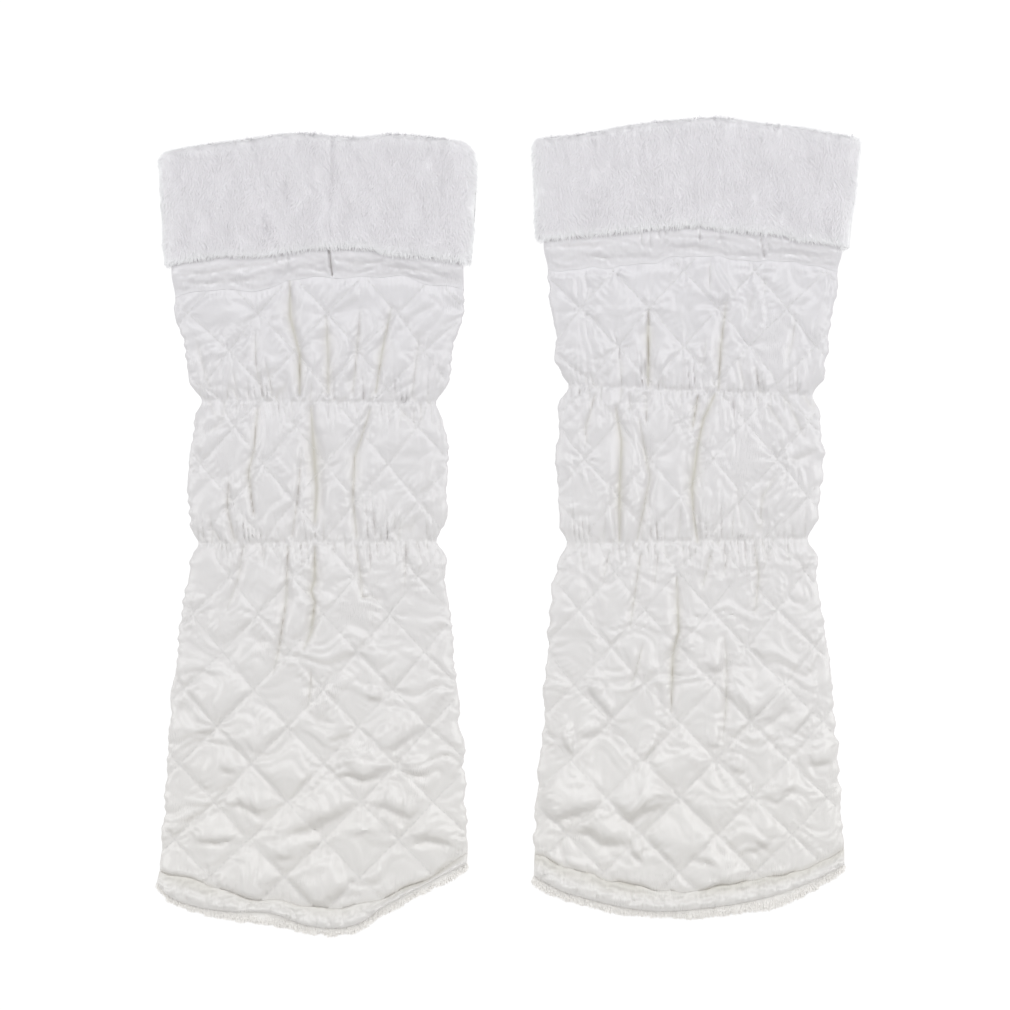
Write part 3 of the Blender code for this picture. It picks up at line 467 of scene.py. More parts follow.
RIGHT = LegPlan(
    side="right",
    tube=((-186, 13.0, 176.2), (-160, 14.0, 175.2), (-135, 15.6, 173.0), (-94, 18.5, 170.4),
          (-58, 20.8, 166.3), (-28, 24.0, 162.0), (0, 26.4, 161.6), (22, 26.3, 163.1),
          (50, 26.0, 163.6), (76, 26.8, 164.6), (95, 25.0, 167.3), (120, 21.8, 171.0),
          (146, 18.9, 174.6)),
    cuff=((148, 13.9, 178.7), (163, 13.5, 180.0), (175, 13.0, 181.6), (192, 12.1, 184.4),
          (214, 12.0, 185.4)),
    cuff_top=Curve(((12, 198), (15, 203), (22, 204.2), (42, 206.6), (63, 210.6), (95, 214.0),
                    (112, 214.4), (126, 212), (150, 209.4), (168, 206), (180, 203.6), (185, 199))),
    cuff_lip=Curve(((14, 149.6), (20, 149.2), (33, 150.6), (61, 153), (80, 155), (103, 156), (113, 154),
                    (145, 151.2), (154, 148.6), (170, 147), (179, 145))),
    band_seam=Curve(((20, 134.2), (51, 136.2), (75, 138.6), (85, 141), (105, 141.7), (124, 139.2),
                     (148, 138.6), (174, 134))),
    hem_seam=Curve(((13, -172.5), (39, -181.7), (66, -188.3), (90, -192.2), (105, -190.1),
                    (135, -184.7), (148, -182.3), (161, -177.5), (176, -169.4))),
    hem_edge=Curve(((13, -183.4), (27, -191.3), (43, -196.1), (61, -200.3), (81, -202.2),
                    (105, -200.3), (124, -197.3), (142, -193), (160, -186), (176, -177.6))),
    lining_edge=Curve(((13, -187), (18, -191), (33, -197), (57, -202.8), (87, -205.4), (112, -204.2),
                       (136, -200.6), (148, -197), (163, -189.6), (176, -180.2))),
    elastics=((73.8, 68.6), (-9.2, -6.4)),
    lattice=(-0.55, -181.3),
    shell_creases=(
        Crease(1.4, 2.6, ((58, 93), (59, 74))),
        Crease(3.2, 2.7, ((73, 113), (73, 94), (73, 74)), (0.4, 0.9)),
        Crease(1.2, 2.6, ((105, 139), (105, 122)), (0.8, 0.2)),
        Crease(2.6, 3.0, ((114, 118), (111, 93), (110, 72))),
        Crease(1.3, 2.4, ((103, 98), (102, 85))),
        Crease(1.3, 2.8, ((127, 120), (125, 108)), (0.3, 0.3)),
        Crease(1.0, 2.4, ((134, 132), (134, 120)), (0.5, 0.2)),
        Crease(1.5, 2.3, ((120, 88), (124, 70))),
        Crease(1.7, 2.3, ((129, 84), (132, 70))),
        Crease(1.5, 2.8, ((150, 110), (149, 98), (145, 85)), (0.3, 0.3)),
        Crease(1.3, 2.4, ((42, 82), (45, 72))),
        Crease(1.8, 2.5, ((45, 69), (40, 51), (41, 42)), (0.9, 0.2)),
        Crease(3.2, 2.9, ((56, 62), (59, 44), (58, 20), (58, -8)), (0.6, 0.9)),
        Crease(1.6, 2.2, ((72, 69), (72, 52)), (0.9, 0.2)),
        Crease(2.3, 2.8, ((68, 57), (73, 30), (74, 26), (67, -8)), (0.3, 0.9)),
        Crease(2.7, 2.6, ((99, 68), (96, 50)), (0.9, 0.3)),
        Crease(3.4, 3.0, ((108, 69), (102, 56), (99, 42), (96, 20), (97, 4), (99, -8)), (0.8, 0.8)),
        Crease(1.4, 2.0, ((90, 10), (89, -8))),
        Crease(1.3, 2.0, ((63, 69), (64, 58)), (0.9, 0.2)),
        Crease(1.5, 2.5, ((136, 63), (144, 51)), (0.9, 0.2)),
        Crease(1.6, 2.8, ((146, 66), (155, 46)), (0.9, 0.3)),
        Crease(1.2, 2.8, ((161, 39), (148, 34)), (0.6, 0.2)),
        Crease(1.7, 2.6, ((140, 26), (133, 16), (132, 4)), (0.3, 0.8)),
        Crease(1.0, 2.2, ((119, 23), (122, 1)), (0.2, 0.7)),
        Crease(3.0, 2.9, ((88, -27), (89, -55), (86, -67), (85, -98)), (0.5, 0.3)),
        Crease(2.0, 2.6, ((129, -11), (131, -27), (129, -46)), (0.9, 0.3)),
        Crease(1.3, 2.2, ((137, -12), (132, -27)), (0.9, 0.3)),
        Crease(1.3, 2.2, ((115, -14), (112, -28)), (0.9, 0.2)),
        Crease(1.7, 2.3, ((106, -14), (101, -34)), (0.9, 0.2)),
        Crease(1.7, 2.8, ((113, -58), (114, -69), (114, -93), (112, -113)), (0.4, 0.2)),
        Crease(1.8, 2.5, ((69, -15), (63, -55)), (0.9, 0.2)),
        Crease(1.3, 2.2, ((78, -15), (76, -34)), (0.9, 0.2)),
        Crease(1.7, 2.6, ((70, -62), (66, -78), (63, -85)), (0.3, 0.4)),
        Crease(1.3, 2.2, ((52, -15), (49, -30)), (0.9, 0.2)),
        Crease(1.1, 2.0, ((39, -16), (39, -24)), (0.9, 0.2)),
    ),
    band_creases=(
        Crease(1.2, 1.6, ((42, 142), (48, 140.6), (56, 140)), (0.3, 0.3)),
        Crease(0.9, 1.2, ((69, 153), (69.6, 146)), (0.9, 0.3)),
        Crease(1.1, 1.2, ((73.6, 153), (74.2, 145)), (0.9, 0.3)),
        Crease(0.9, 1.2, ((78.4, 154), (79, 148)), (0.9, 0.3)),
        Crease(1.1, 1.2, ((81.6, 154), (82, 146)), (0.9, 0.3)),
        Crease(1.4, 1.1, ((99.6, 155), (100, 148)), (0.9, 0.3)),
        Crease(1.1, 1.6, ((110, 153), (112, 146)), (0.9, 0.2)),
        Crease(1.6, 1.0, ((131.6, 150.6), (133, 144), (135, 138.6)), (0.7, 0.6)),
        Crease(1.1, 1.0, ((135, 149), (137, 142)), (0.5, 0.3)),
        Crease(0.8, 2.0, ((24, 146), (38, 147), (56, 148)), (0.4, 0.3)),
        Crease(0.7, 2.0, ((88, 146), (98, 146.6), (108, 145)), (0.3, 0.3)),
        Crease(0.9, 2.2, ((140, 143), (154, 142), (168, 140)), (0.3, 0.4)),
    ),
    plush_creases=(
        Crease(1.2, 3.0, ((44, 204), (46, 190), (45, 178)), (0.8, 0.1)),
        Crease(0.9, 3.0, ((112, 213), (110, 196)), (0.8, 0.1)),
        Crease(0.9, 2.8, ((142, 170), (139, 153)), (0.1, 0.6)),
        Crease(0.9, 3.2, ((74, 190), (77, 171)), (0.1, 0.1)),
    ),
    sags=(
        Crease(0.8, 3.0, ((33.4, -110.0), (42.0, -111.0), (50.5, -108.4)), (0.2, 0.2)),
        Crease(1.0, 2.2, ((27.0, -113.2), (34.5, -121.2)), (0.4, 0.4)),
        Crease(0.9, 2.2, ((68.7, -126.0), (79.4, -113.2)), (0.5, 0.2)),
        Crease(2.0, 5.0, ((17.4, -150.1), (23.8, -155.6), (35.6, -150.6), (48.4, -146.9)), (0.5, 0.3)),
        Crease(1.9, 4.8, ((53.8, -147.9), (63.4, -155.6), (70.9, -150.1), (85.9, -144.7)), (0.4, 0.3)),
        Crease(2.0, 5.0, ((32.4, -161.9), (42.0, -161.9), (48.4, -167.2), (64.5, -167.5)), (0.4, 0.5)),
        Crease(1.2, 2.4, ((63.4, -171.5), (70.9, -176.8)), (0.6, 0.3)),
        Crease(1.2, 3.4, ((130.8, -142.1), (140.4, -145.5), (151.1, -137.8)), (0.2, 0.2)),
        Crease(1.2, 4.4, ((129.7, -103.0), (138.3, -103.0), (144.7, -97.1), (151.1, -99.5)), (0.3, 0.2)),
        Crease(0.9, 2.0, ((146.8, -112.1), (160.8, -96.6)), (0.5, 0.7)),
        Crease(0.9, 2.8, ((101.9, -73.6), (107.3, -76.8), (112.6, -75.7)), (0.2, 0.2)),
        Crease(0.8, 2.8, ((103.0, -115.3), (110.5, -116.4)), (0.2, 0.5)),
        Crease(0.9, 3.0, ((115.8, -128.2), (124.4, -130.8)), (0.3, 0.2)),
        Crease(1.1, 3.4, ((154.3, -123.9), (160.8, -126.0), (171.5, -123.9)), (0.2, 0.5)),
        Crease(1.0, 2.4, ((94.4, -175.2), (103.0, -176.3), (110.5, -178.4)), (0.3, 0.1)),
        Crease(0.9, 4.2, ((122.2, -171.5), (129.7, -170.4), (140.4, -165.6)), (0.2, 0.2)),
        Crease(0.9, 2.0, ((39.9, -85.3), (55.9, -103.0)), (0.4, 0.8)),
    ),
    pockets=((57, -137, 1.05), (90.1, -134, 1.25), (90.1, -171, 1.6), (23.8, -149, 1.0), (63.4, -149, 0.9),
             (108.3, -151, 1.0), (124.4, -91, 0.8), (101.9, -183, 1.2), (75.2, -181, 0.9)),
    seed=11,
)


# ---------------------------------------------------------------- node trees
class Wire:
    """A node's socket that adds Math nodes when it is reckoned with."""

    def __init__(self, bench: "Bench", socket: bpy.types.NodeSocket) -> None:
        """Keep the socket and the tree it is on."""
        self.bench = bench
        self.socket = socket

    def _reckon(self, operation: str, *values: "Wire | float") -> "Wire":
        """The wire of a new Math node."""
        return self.bench.add("ShaderNodeMath", {"operation": operation}, dict(enumerate(values)))

    def __add__(self, other: "Wire | float") -> "Wire":
        """Sum."""
        return self._reckon("ADD", self, other)

    def __sub__(self, other: "Wire | float") -> "Wire":
        """Difference."""
        return self._reckon("SUBTRACT", self, other)

    def __rsub__(self, other: float) -> "Wire":
        """Difference from a number."""
        return self._reckon("SUBTRACT", other, self)

    def __mul__(self, other: "Wire | float") -> "Wire":
        """Product."""
        return self._reckon("MULTIPLY", self, other)

    def __pow__(self, other: float) -> "Wire":
        """Power."""
        return self._reckon("POWER", self, other)

    __radd__ = __add__
    __rmul__ = __mul__


class Bench:
    """A node tree under construction."""

    def __init__(self, tree: bpy.types.NodeTree) -> None:
        """Start from an empty tree."""
        self.tree = tree
        tree.nodes.clear()

    def add(self, kind: str, settings: dict | None = None, inputs: dict | None = None,
            out: int | str = 0) -> Wire:
        """Add a node.

        Args:
            kind: The node's type.
            settings: Its properties, set first.
            inputs: Values or wires, by a socket's name or number.
            out: The socket to hand back.

        Returns:
            The wire of that output.
        """
        node = self.tree.nodes.new(kind)
        for name, value in (settings or {}).items():
            setattr(node, name, value)
        for name, value in (inputs or {}).items():
            if isinstance(value, Wire):
                self.tree.links.new(value.socket, node.inputs[name])
            else:
                node.inputs[name].default_value = value
        if not node.outputs:
            return Wire(self, node.inputs[0])
        return Wire(self, node.outputs[out])

    def blend(self, share: Wire, first: "Wire | Colour", second: "Wire | Colour") -> Wire:
        """Mix two colours."""
        first, second = (value if isinstance(value, Wire) else (*value, 1.0) for value in (first, second))
        return self.add("ShaderNodeMix", {"data_type": "RGBA"}, {0: share, 6: first, 7: second}, out=2)

    def noise(self, place: Wire, scale: float, detail: float, dimensions: str = "3D") -> Wire:
        """Noise from 0 to 1 over a texture's places."""
        return self.add("ShaderNodeTexNoise", {"noise_dimensions": dimensions},
                        {"Vector": place, "Scale": scale, "Detail": detail})

    def stretched(self, place: Wire, scale: tuple[float, float, float]) -> Wire:
        """A texture's places, stretched."""
        return self.add("ShaderNodeMapping", None, {"Vector": place, "Scale": scale})

    def mark(self, name: str) -> Wire:
        """A number that the mesh keeps for each point."""
        return self.add("ShaderNodeAttribute", {"attribute_name": name}, out="Fac")

    def bump(self, height: Wire, strength: float, distance: float) -> Wire:
        """A normal from a fine relief."""
        return self.add("ShaderNodeBump", None,
                        {"Strength": strength, "Distance": distance, "Height": height}, out="Normal")

    def finish(self, inputs: dict) -> None:
        """End a material with its shader."""
        shader = self.add("ShaderNodeBsdfPrincipled", None, inputs)
        self.add("ShaderNodeOutputMaterial", None, {"Surface": shader})


def start_material(name: str) -> tuple[bpy.types.Material, Bench]:
    """Make a material.

    Args:
        name: Its name.

    Returns:
        The material and the bench of its empty tree.
    """
    material = bpy.data.materials.new(name)
    material.use_nodes = True
    return material, Bench(material.node_tree)


def place_object(name: str, data: bpy.types.ID) -> bpy.types.Object:
    """Put an object in the scene.

    Args:
        name: Its name.
        data: Its mesh, light or camera.

    Returns:
        The object.
    """
    placed = bpy.data.objects.new(name, data)
    bpy.context.scene.collection.objects.link(placed)
    return placed


# ---------------------------------------------------------------- finishes
@dataclass(frozen=True)
class SatinFinish:
    """White satin: smooth threads with a broad gloss, with creamy painted shade in its creases and on slopes
    that face away from the light.
    """

    name: str
    tone: Colour
    painted_warm_light_tone: Colour
    crease_shade_tone: Colour
    pale_and_painted_light_tone: Colour = (0.86, 0.86, 0.87)
    roughness: float = 0.31
    metallic: float = 0.04
    thread: float = 2600.0
    warp_run: float = 260.0
    weft_run: float = 180.0
    cloud: float = 38.0

    def dress(self) -> bpy.types.Material:
        """Make the material.

        Returns:
            Satin with painted warm light that grows towards the hem and creamy painted shade in its creases.
        """
        material, bench = start_material(self.name)
        place = bench.add("ShaderNodeTexCoord", out="Object")
        weave = bench.add("ShaderNodeUVMap", {"uv_map": "weave"}, out="UV")
        long = bench.stretched(weave, (self.thread, self.warp_run, 1.0))
        cross = bench.stretched(weave, (self.weft_run, self.thread, 1.0))
        warp, weft = (bench.noise(threads, 1.0, 2.0, "2D") for threads in (long, cross))
        slow = bench.noise(place, self.cloud, 3.0)
        high = bench.add("ShaderNodeSeparateXYZ", None, {"Vector": place}, out="Y")
        # Painted light: the satin grows warmer and brighter towards the hem and cooler and darker towards the
        # cuff.
        plain = bench.blend(high * 3.2 + 0.5, self.painted_warm_light_tone, self.tone)
        # Painted shade: the crease mark darkens and yellows the satin in creases, seams and slopes that face
        # away from the light.
        deep = bench.blend(bench.mark("crease"), plain, self.crease_shade_tone)
        bench.finish({
            "Base Color": bench.blend((slow - 0.5) * 0.10 + 0.05, deep, self.pale_and_painted_light_tone),
            "Roughness": (slow - 0.5) * 0.16 + (warp - 0.5) * 0.08 + self.roughness,
            "Metallic": self.metallic, "IOR": 1.55,
            "Normal": bench.bump(warp * 0.6 + weft * 0.4, 0.22, 0.00012)})
        return material


@dataclass(frozen=True)
class PlushFinish:
    """White short plush with painted shade at its hairs' roots and painted light where it is marked pale."""

    name: str
    tone: Colour
    root_shade_tone: Colour
    pale_and_painted_light_tone: Colour = (0.97, 0.97, 0.975)
    patch: float = 90.0
    pile: float = 900.0
    drawn: float = 0.28

    def dress(self) -> bpy.types.Material:
        """Make the material.

        Returns:
            Plush with patches drawn out along the nap, painted shade at its roots and painted light where it
            is marked pale.
        """
        material, bench = start_material(self.name)
        place = bench.add("ShaderNodeTexCoord", out="Object")
        along = bench.stretched(place, (1.0, self.drawn, 1.0))
        patches, fine = bench.noise(along, self.patch, 4.0), bench.noise(along, self.pile, 3.0)
        # Painted shade: hairs and the body under them darken towards the roots, where shade falls between the
        # tufts.
        hair = bench.blend(bench.mark("tip") ** 0.7, self.root_shade_tone, self.tone)
        mottled = bench.blend((patches - 0.5) * 0.4 + 0.12, hair, self.root_shade_tone)
        bench.finish({
            # Painted light: where the pale mark is set, the plush is lifted to a near-white tone, on the
            # cuff's fold, sides and lip and over the lining.
            "Base Color": bench.blend(bench.mark("pale"), mottled, self.pale_and_painted_light_tone),
            "Roughness": (fine - 0.5) * 0.2 + 0.85, "Normal": bench.bump(fine, 0.5, 0.0006), "IOR": 1.4,
            "Sheen Weight": 0.8, "Sheen Roughness": 0.5})
        return material


@dataclass(frozen=True)
class ThreadFinish:
    """White twisted sewing thread."""

    name: str
    tone: Colour
    ply_tone: Colour = (0.62, 0.61, 0.60)
    ply: float = 2400.0

    def dress(self) -> bpy.types.Material:
        """Make the material.

        Returns:
            Thread with the marks of its twist.
        """
        material, bench = start_material(self.name)
        twist = bench.noise(bench.add("ShaderNodeTexCoord", out="Object"), self.ply, 1.0)
        bench.finish({"Base Color": bench.blend(twist * 0.3, self.tone, self.ply_tone), "Roughness": 0.6,
                      "Normal": bench.bump(twist, 0.4, 0.0001)})
        return material


Finish = SatinFinish | PlushFinish | ThreadFinish
# Band and shell are one satin: the band's brighter tone is painted light that lifts the shadow under the
# cuff's lip, and the shell's darker top tone is painted shade.
QUILTED_SATIN = SatinFinish("quilted_satin", tone=(0.698, 0.684, 0.704), painted_warm_light_tone=(0.783, 0.764, 0.739),
                            crease_shade_tone=(0.56, 0.535, 0.465))
BAND_SATIN_PAINTED_LIGHT = SatinFinish("plain_satin", tone=(0.775, 0.76, 0.778), painted_warm_light_tone=(0.775, 0.76, 0.778),
                         crease_shade_tone=(0.60, 0.58, 0.54))
CUFF_PLUSH = PlushFinish("cuff_plush", tone=(0.912, 0.896, 0.915), root_shade_tone=(0.868, 0.852, 0.871))
LINING_PLUSH = PlushFinish("lining_plush", tone=(0.92, 0.91, 0.90), root_shade_tone=(0.86, 0.85, 0.83),
                           pale_and_painted_light_tone=(0.97, 0.95, 0.92), patch=160.0)
QUILT_THREAD = ThreadFinish("quilting_thread", tone=(0.80, 0.79, 0.78))


class Wardrobe:
    """Makes each finish's material once."""

    def __init__(self) -> None:
        """Start with none."""
        self.made: dict[str, bpy.types.Material] = {}

    def take(self, finish: Finish) -> bpy.types.Material:
        """The material of a finish."""
        if finish.name not in self.made:
            self.made[finish.name] = finish.dress()
        return self.made[finish.name]


WARDROBE = Wardrobe()


# ---------------------------------------------------------------- meshes
def grid_faces(rows: int, columns: int, start: int = 0) -> Grid:
    """Quads of a grid of points, facing up where rows run along Y and columns along X."""
    index = start + np.arange(rows * columns).reshape(rows, columns)
    return np.stack([index[:-1, :-1], index[:-1, 1:], index[1:, 1:], index[1:, :-1]], -1).reshape(-1, 4)


def rim_of(rows: int, columns: int) -> Grid:
    """Numbers of a grid's border points, anticlockwise from above."""
    index = np.arange(rows * columns).reshape(rows, columns)
    return np.concatenate([index[0, :-1], index[:-1, -1], index[-1, :0:-1], index[:0:-1, 0]])


def normals_of(points: Grid, faces: list) -> Grid:
    """Normals of a shape.

    Args:
        points: Its points.
        faces: Its faces, as point numbers.

    Returns:
        The normal at each point.
    """
    trial = bpy.data.meshes.new("trial")
    trial.from_pydata(points.tolist(), [], faces)
    normals = np.zeros(len(points) * 3, np.float32)
    trial.vertex_normals.foreach_get("vector", normals)
    bpy.data.meshes.remove(trial)
    return normals.reshape(-1, 3).astype(float)


def sew_piece(name: str, points: Grid, faces: list, finish: Finish, marks: dict[str, Grid],
              weave: Grid | None = None) -> bpy.types.Object:
    """Make an object from points in millimetres.

    Args:
        name: The piece's name.
        points: Its points, one row each.
        faces: Its faces, as point numbers.
        finish: What it is made of.
        marks: Values for each point, by attribute name.
        weave: Where each point lies in the flat cloth, in millimetres.

    Returns:
        The object.
    """
    mesh = bpy.data.meshes.new(name)
    mesh.from_pydata((points * MM).tolist(), [], faces)
    for mark, values in marks.items():
        kind = "FLOAT_VECTOR" if values.ndim == 2 else "FLOAT"
        stored = mesh.attributes.new(mark, kind, "POINT")
        stored.data.foreach_set("vector" if values.ndim == 2 else "value", values.astype(np.float32).ravel())
    if weave is not None:
        layer = mesh.uv_layers.new(name="weave")
        corner = np.zeros(len(mesh.loops), np.int32)
        mesh.loops.foreach_get("vertex_index", corner)
        layer.data.foreach_set("uv", (weave * MM)[corner].astype(np.float32).ravel())
    mesh.shade_smooth()
    mesh.set_sharp_from_angle(angle=SHARP_ANGLE)
    mesh.materials.append(WARDROBE.take(finish))
    return place_object(name, mesh)


def settle(pieces: Iterable[bpy.types.Object], slot: Slot) -> None:
    """Put finished pieces on the body."""
    for piece in pieces:
        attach(piece, "root")


def sew_wall(name: str, outer: Grid, inner: Grid, face: Face, finish: Finish,
             marks: dict[str, Grid]) -> bpy.types.Object:
    """Close two grids of points into one wall.

    Args:
        name: The piece's name.
        outer: The outer surface, rows by columns by 3.
        inner: The inner surface, of the same size.
        face: The tube's side that it is on.
        finish: What it is made of.
        marks: Values for each point, outer ones first, by attribute name.

    Returns:
        The object.
    """
    rows, columns = outer.shape[:2]
    count, rim = rows * columns, rim_of(rows, columns)
    after = np.roll(rim, -1)
    quads = np.concatenate([grid_faces(rows, columns), grid_faces(rows, columns, count)[:, ::-1],
                            np.stack([rim + count, after + count, after, rim], -1)])
    points = np.concatenate([outer.reshape(-1, 3), inner.reshape(-1, 3)])
    faces = (quads if face is Face.FRONT else quads[:, ::-1]).tolist()
    return sew_piece(name, points, faces, finish, marks, points[:, :2])


def outside(values: Grid) -> Grid:
    """Values for a wall's points, which are 0 on its inside."""
    return np.concatenate([values.ravel(), np.zeros(values.size)])


def sew_slab(name: str, outer: Grid, level: float, face: Face, finish: Finish,
             crease: Grid) -> bpy.types.Object:
    """Close a grid of points with one level face behind it.

    Args:
        name: The piece's name.
        outer: The outer surface, rows by columns by 3.
        level: Height of the plain inside.
        face: The tube's side that it is on.
        finish: What it is made of.
        crease: Painted shade for each outer point, deepest in folds.

    Returns:
        The object.
    """
    rows, columns = outer.shape[:2]
    count, rim = rows * columns, rim_of(rows, columns)
    under = outer.reshape(-1, 3)[rim].copy()
    under[:, 2] = level
    below = count + np.arange(len(rim))
    quads = np.concatenate([grid_faces(rows, columns),
                            np.stack([below, np.roll(below, -1), np.roll(rim, -1), rim], -1)])
    faces = (quads if face is Face.FRONT else quads[:, ::-1]).tolist()
    faces.append((below[::-1] if face is Face.FRONT else below).tolist())
    points = np.concatenate([outer.reshape(-1, 3), under])
    marks = {"crease": np.concatenate([crease.ravel(), np.zeros(len(rim))])}
    return sew_piece(name, points, faces, finish, marks, points[:, :2])


# ---------------------------------------------------------------- repeated details
class Repeater:
    """Geometry Nodes that cover a guide with one small shape, applied to a plain mesh."""

    def __init__(self, name: str) -> None:
        """Start a tree with a guide for its input.

        Args:
            name: The tree's name.
        """
        self.tree = bpy.data.node_groups.new(name, "GeometryNodeTree")
        self.sizes: dict[str, str] = {}
        self.tree.interface.new_socket(name="Geometry", in_out="INPUT", socket_type="NodeSocketGeometry")
        self.tree.interface.new_socket(name="Geometry", in_out="OUTPUT", socket_type="NodeSocketGeometry")
        self.bench = Bench(self.tree)

    def size(self, name: str, whole: bool = False) -> None:
        """Add a named input."""
        kind = "NodeSocketInt" if whole else "NodeSocketFloat"
        self.sizes[name] = self.tree.interface.new_socket(name=name, in_out="INPUT",
                                                          socket_type=kind).identifier

    def open(self) -> Callable[[str], Wire]:
        """Place the input node.

        Returns:
            A function that hands out its wires by name.
        """
        node = self.tree.nodes.new("NodeGroupInput")
        return lambda name: Wire(self.bench, node.outputs[name])

    def close(self, wire: Wire, material: bpy.types.Material) -> None:
        """End the tree with plain geometry in a material.

        Args:
            wire: The instances.
            material: What they are made of.
        """
        real = self.bench.add("GeometryNodeRealizeInstances", None, {"Geometry": wire})
        dressed = self.bench.add("GeometryNodeSetMaterial", None, {"Geometry": real, "Material": material})
        self.bench.add("NodeGroupOutput", None, {"Geometry": dressed})

    def grow(self, name: str, guide: bpy.types.Mesh, sizes: dict[str, float]) -> bpy.types.Object:
        """Run the tree on a guide.

        Args:
            name: The new piece's name.
            guide: The mesh that the shapes follow.
            sizes: The named inputs' values.

        Returns:
            A plain mesh object.
        """
        carrier = place_object(name + "_guide", guide)
        modifier = carrier.modifiers.new("repeat", "NODES")
        modifier.node_group = self.tree
        for label, value in sizes.items():
            modifier[self.sizes[label]] = value
        evaluated = carrier.evaluated_get(bpy.context.evaluated_depsgraph_get())
        mesh = bpy.data.meshes.new_from_object(evaluated)
        mesh.name = name
        bpy.data.objects.remove(carrier)
        return place_object(name, mesh)


def stitch_tree(finish: Finish) -> Repeater:
    """Short stitches, laid end to end along lines.

    Args:
        finish: The thread.

    Returns:
        The tree, with inputs for the stitches' pitch, length and thickness.
    """
    made = Repeater("stitches")
    for name in ("Pitch", "Length", "Thickness"):
        made.size(name)
    given, bench = made.open(), made.bench
    curve = bench.add("GeometryNodeMeshToCurve", None, {"Mesh": given("Geometry")})
    spaced = bench.add("GeometryNodeResampleCurve", {"mode": "LENGTH"},
                       {"Curve": curve, "Length": given("Pitch")})
    points = bench.add("GeometryNodeCurveToPoints", {"mode": "EVALUATED"}, {"Curve": spaced})
    turn = Wire(bench, points.socket.node.outputs["Rotation"])
    bead = bench.add("GeometryNodeMeshUVSphere", None, {"Segments": 4, "Rings": 3, "Radius": 0.5})
    size = bench.add("ShaderNodeCombineXYZ", None,
                     {"X": given("Thickness"), "Y": given("Thickness"), "Z": given("Length")})
    laid = bench.add("GeometryNodeInstanceOnPoints", None,
                     {"Points": points, "Instance": bead, "Rotation": turn, "Scale": size})
    made.close(laid, WARDROBE.take(finish))
    return made


def nap_tree(finish: Finish) -> Repeater:
    """Plush hairs, scattered over a surface and lying along its nap attribute.

    Args:
        finish: The plush.

    Returns:
        The tree, with inputs for the coat's density and its hairs' sizes and lie.
    """
    made = Repeater("nap_" + finish.name)
    for name in ("Density", "Length", "Width", "Lift", "Stray", "Level"):
        made.size(name)
    made.size("Seed", whole=True)
    given, bench = made.open(), made.bench
    furred = bench.add("GeometryNodeInputNamedAttribute", {"data_type": "FLOAT"}, {"Name": "furred"})
    spread = bench.add("GeometryNodeDistributePointsOnFaces", {"distribute_method": "RANDOM"},
                       {"Mesh": given("Geometry"), "Density": given("Density") * furred,
                        "Seed": given("Seed")})
    normal = Wire(bench, spread.socket.node.outputs["Normal"])
    nap = bench.add("GeometryNodeInputNamedAttribute", {"data_type": "FLOAT_VECTOR"}, {"Name": "nap"})
    stray = bench.add("FunctionNodeRandomValue", {"data_type": "FLOAT_VECTOR"},
                      {0: (-1, -1, -1), 1: (1, 1, 1), "Seed": 7})
    stray = bench.add("ShaderNodeVectorMath", {"operation": "SCALE"}, {0: stray, "Scale": given("Stray")})
    lift = bench.add("ShaderNodeVectorMath", {"operation": "SCALE"}, {0: normal, "Scale": given("Lift")})
    heading = bench.add("ShaderNodeVectorMath", {"operation": "ADD"}, {0: nap, 1: lift})
    heading = bench.add("ShaderNodeVectorMath", {"operation": "ADD"}, {0: heading, 1: stray})
    turn = bench.add("FunctionNodeAlignRotationToVector", {"axis": "Y"}, {"Vector": heading})
    level = bench.add("ShaderNodeCombineXYZ", None, {"Z": given("Level")})
    facing = bench.add("ShaderNodeVectorMath", {"operation": "ADD"}, {0: normal, 1: level})
    turn = bench.add("FunctionNodeAlignRotationToVector", {"axis": "Z", "pivot_axis": "Y"},
                     {"Rotation": turn, "Vector": facing})
    hair = bench.add("GeometryNodeMeshGrid", None,
                     {"Size X": 1.0, "Size Y": 1.0, "Vertices X": 2, "Vertices Y": 3})
    at = bench.add("GeometryNodeInputPosition")
    parts = bench.add("ShaderNodeSeparateXYZ", None, {0: at})
    node = parts.socket.node
    across, tip = Wire(bench, node.outputs["X"]), Wire(bench, node.outputs["Y"]) + 0.5
    taper = (1 - tip ** 1.6 * 0.9) * across * given("Width")
    rise = tip * (1.1 - tip) * given("Length") * 0.22
    bent = bench.add("ShaderNodeCombineXYZ", None, {"X": taper, "Y": tip * given("Length"), "Z": rise})
    hair = bench.add("GeometryNodeStoreNamedAttribute", {"data_type": "FLOAT", "domain": "POINT"},
                     {"Geometry": hair, "Name": "tip", "Value": tip})
    hair = bench.add("GeometryNodeSetPosition", None, {"Geometry": hair, "Position": bent})
    length = bench.add("FunctionNodeRandomValue", {"data_type": "FLOAT"}, {2: 0.6, 3: 1.15, "Seed": 3}, out=1)
    size = bench.add("ShaderNodeCombineXYZ", None, {"X": 1.0, "Y": length, "Z": length})
    grown = bench.add("GeometryNodeInstanceOnPoints", None,
                      {"Points": spread, "Instance": hair, "Rotation": turn, "Scale": size})
    made.close(grown, WARDROBE.take(finish))
    return made


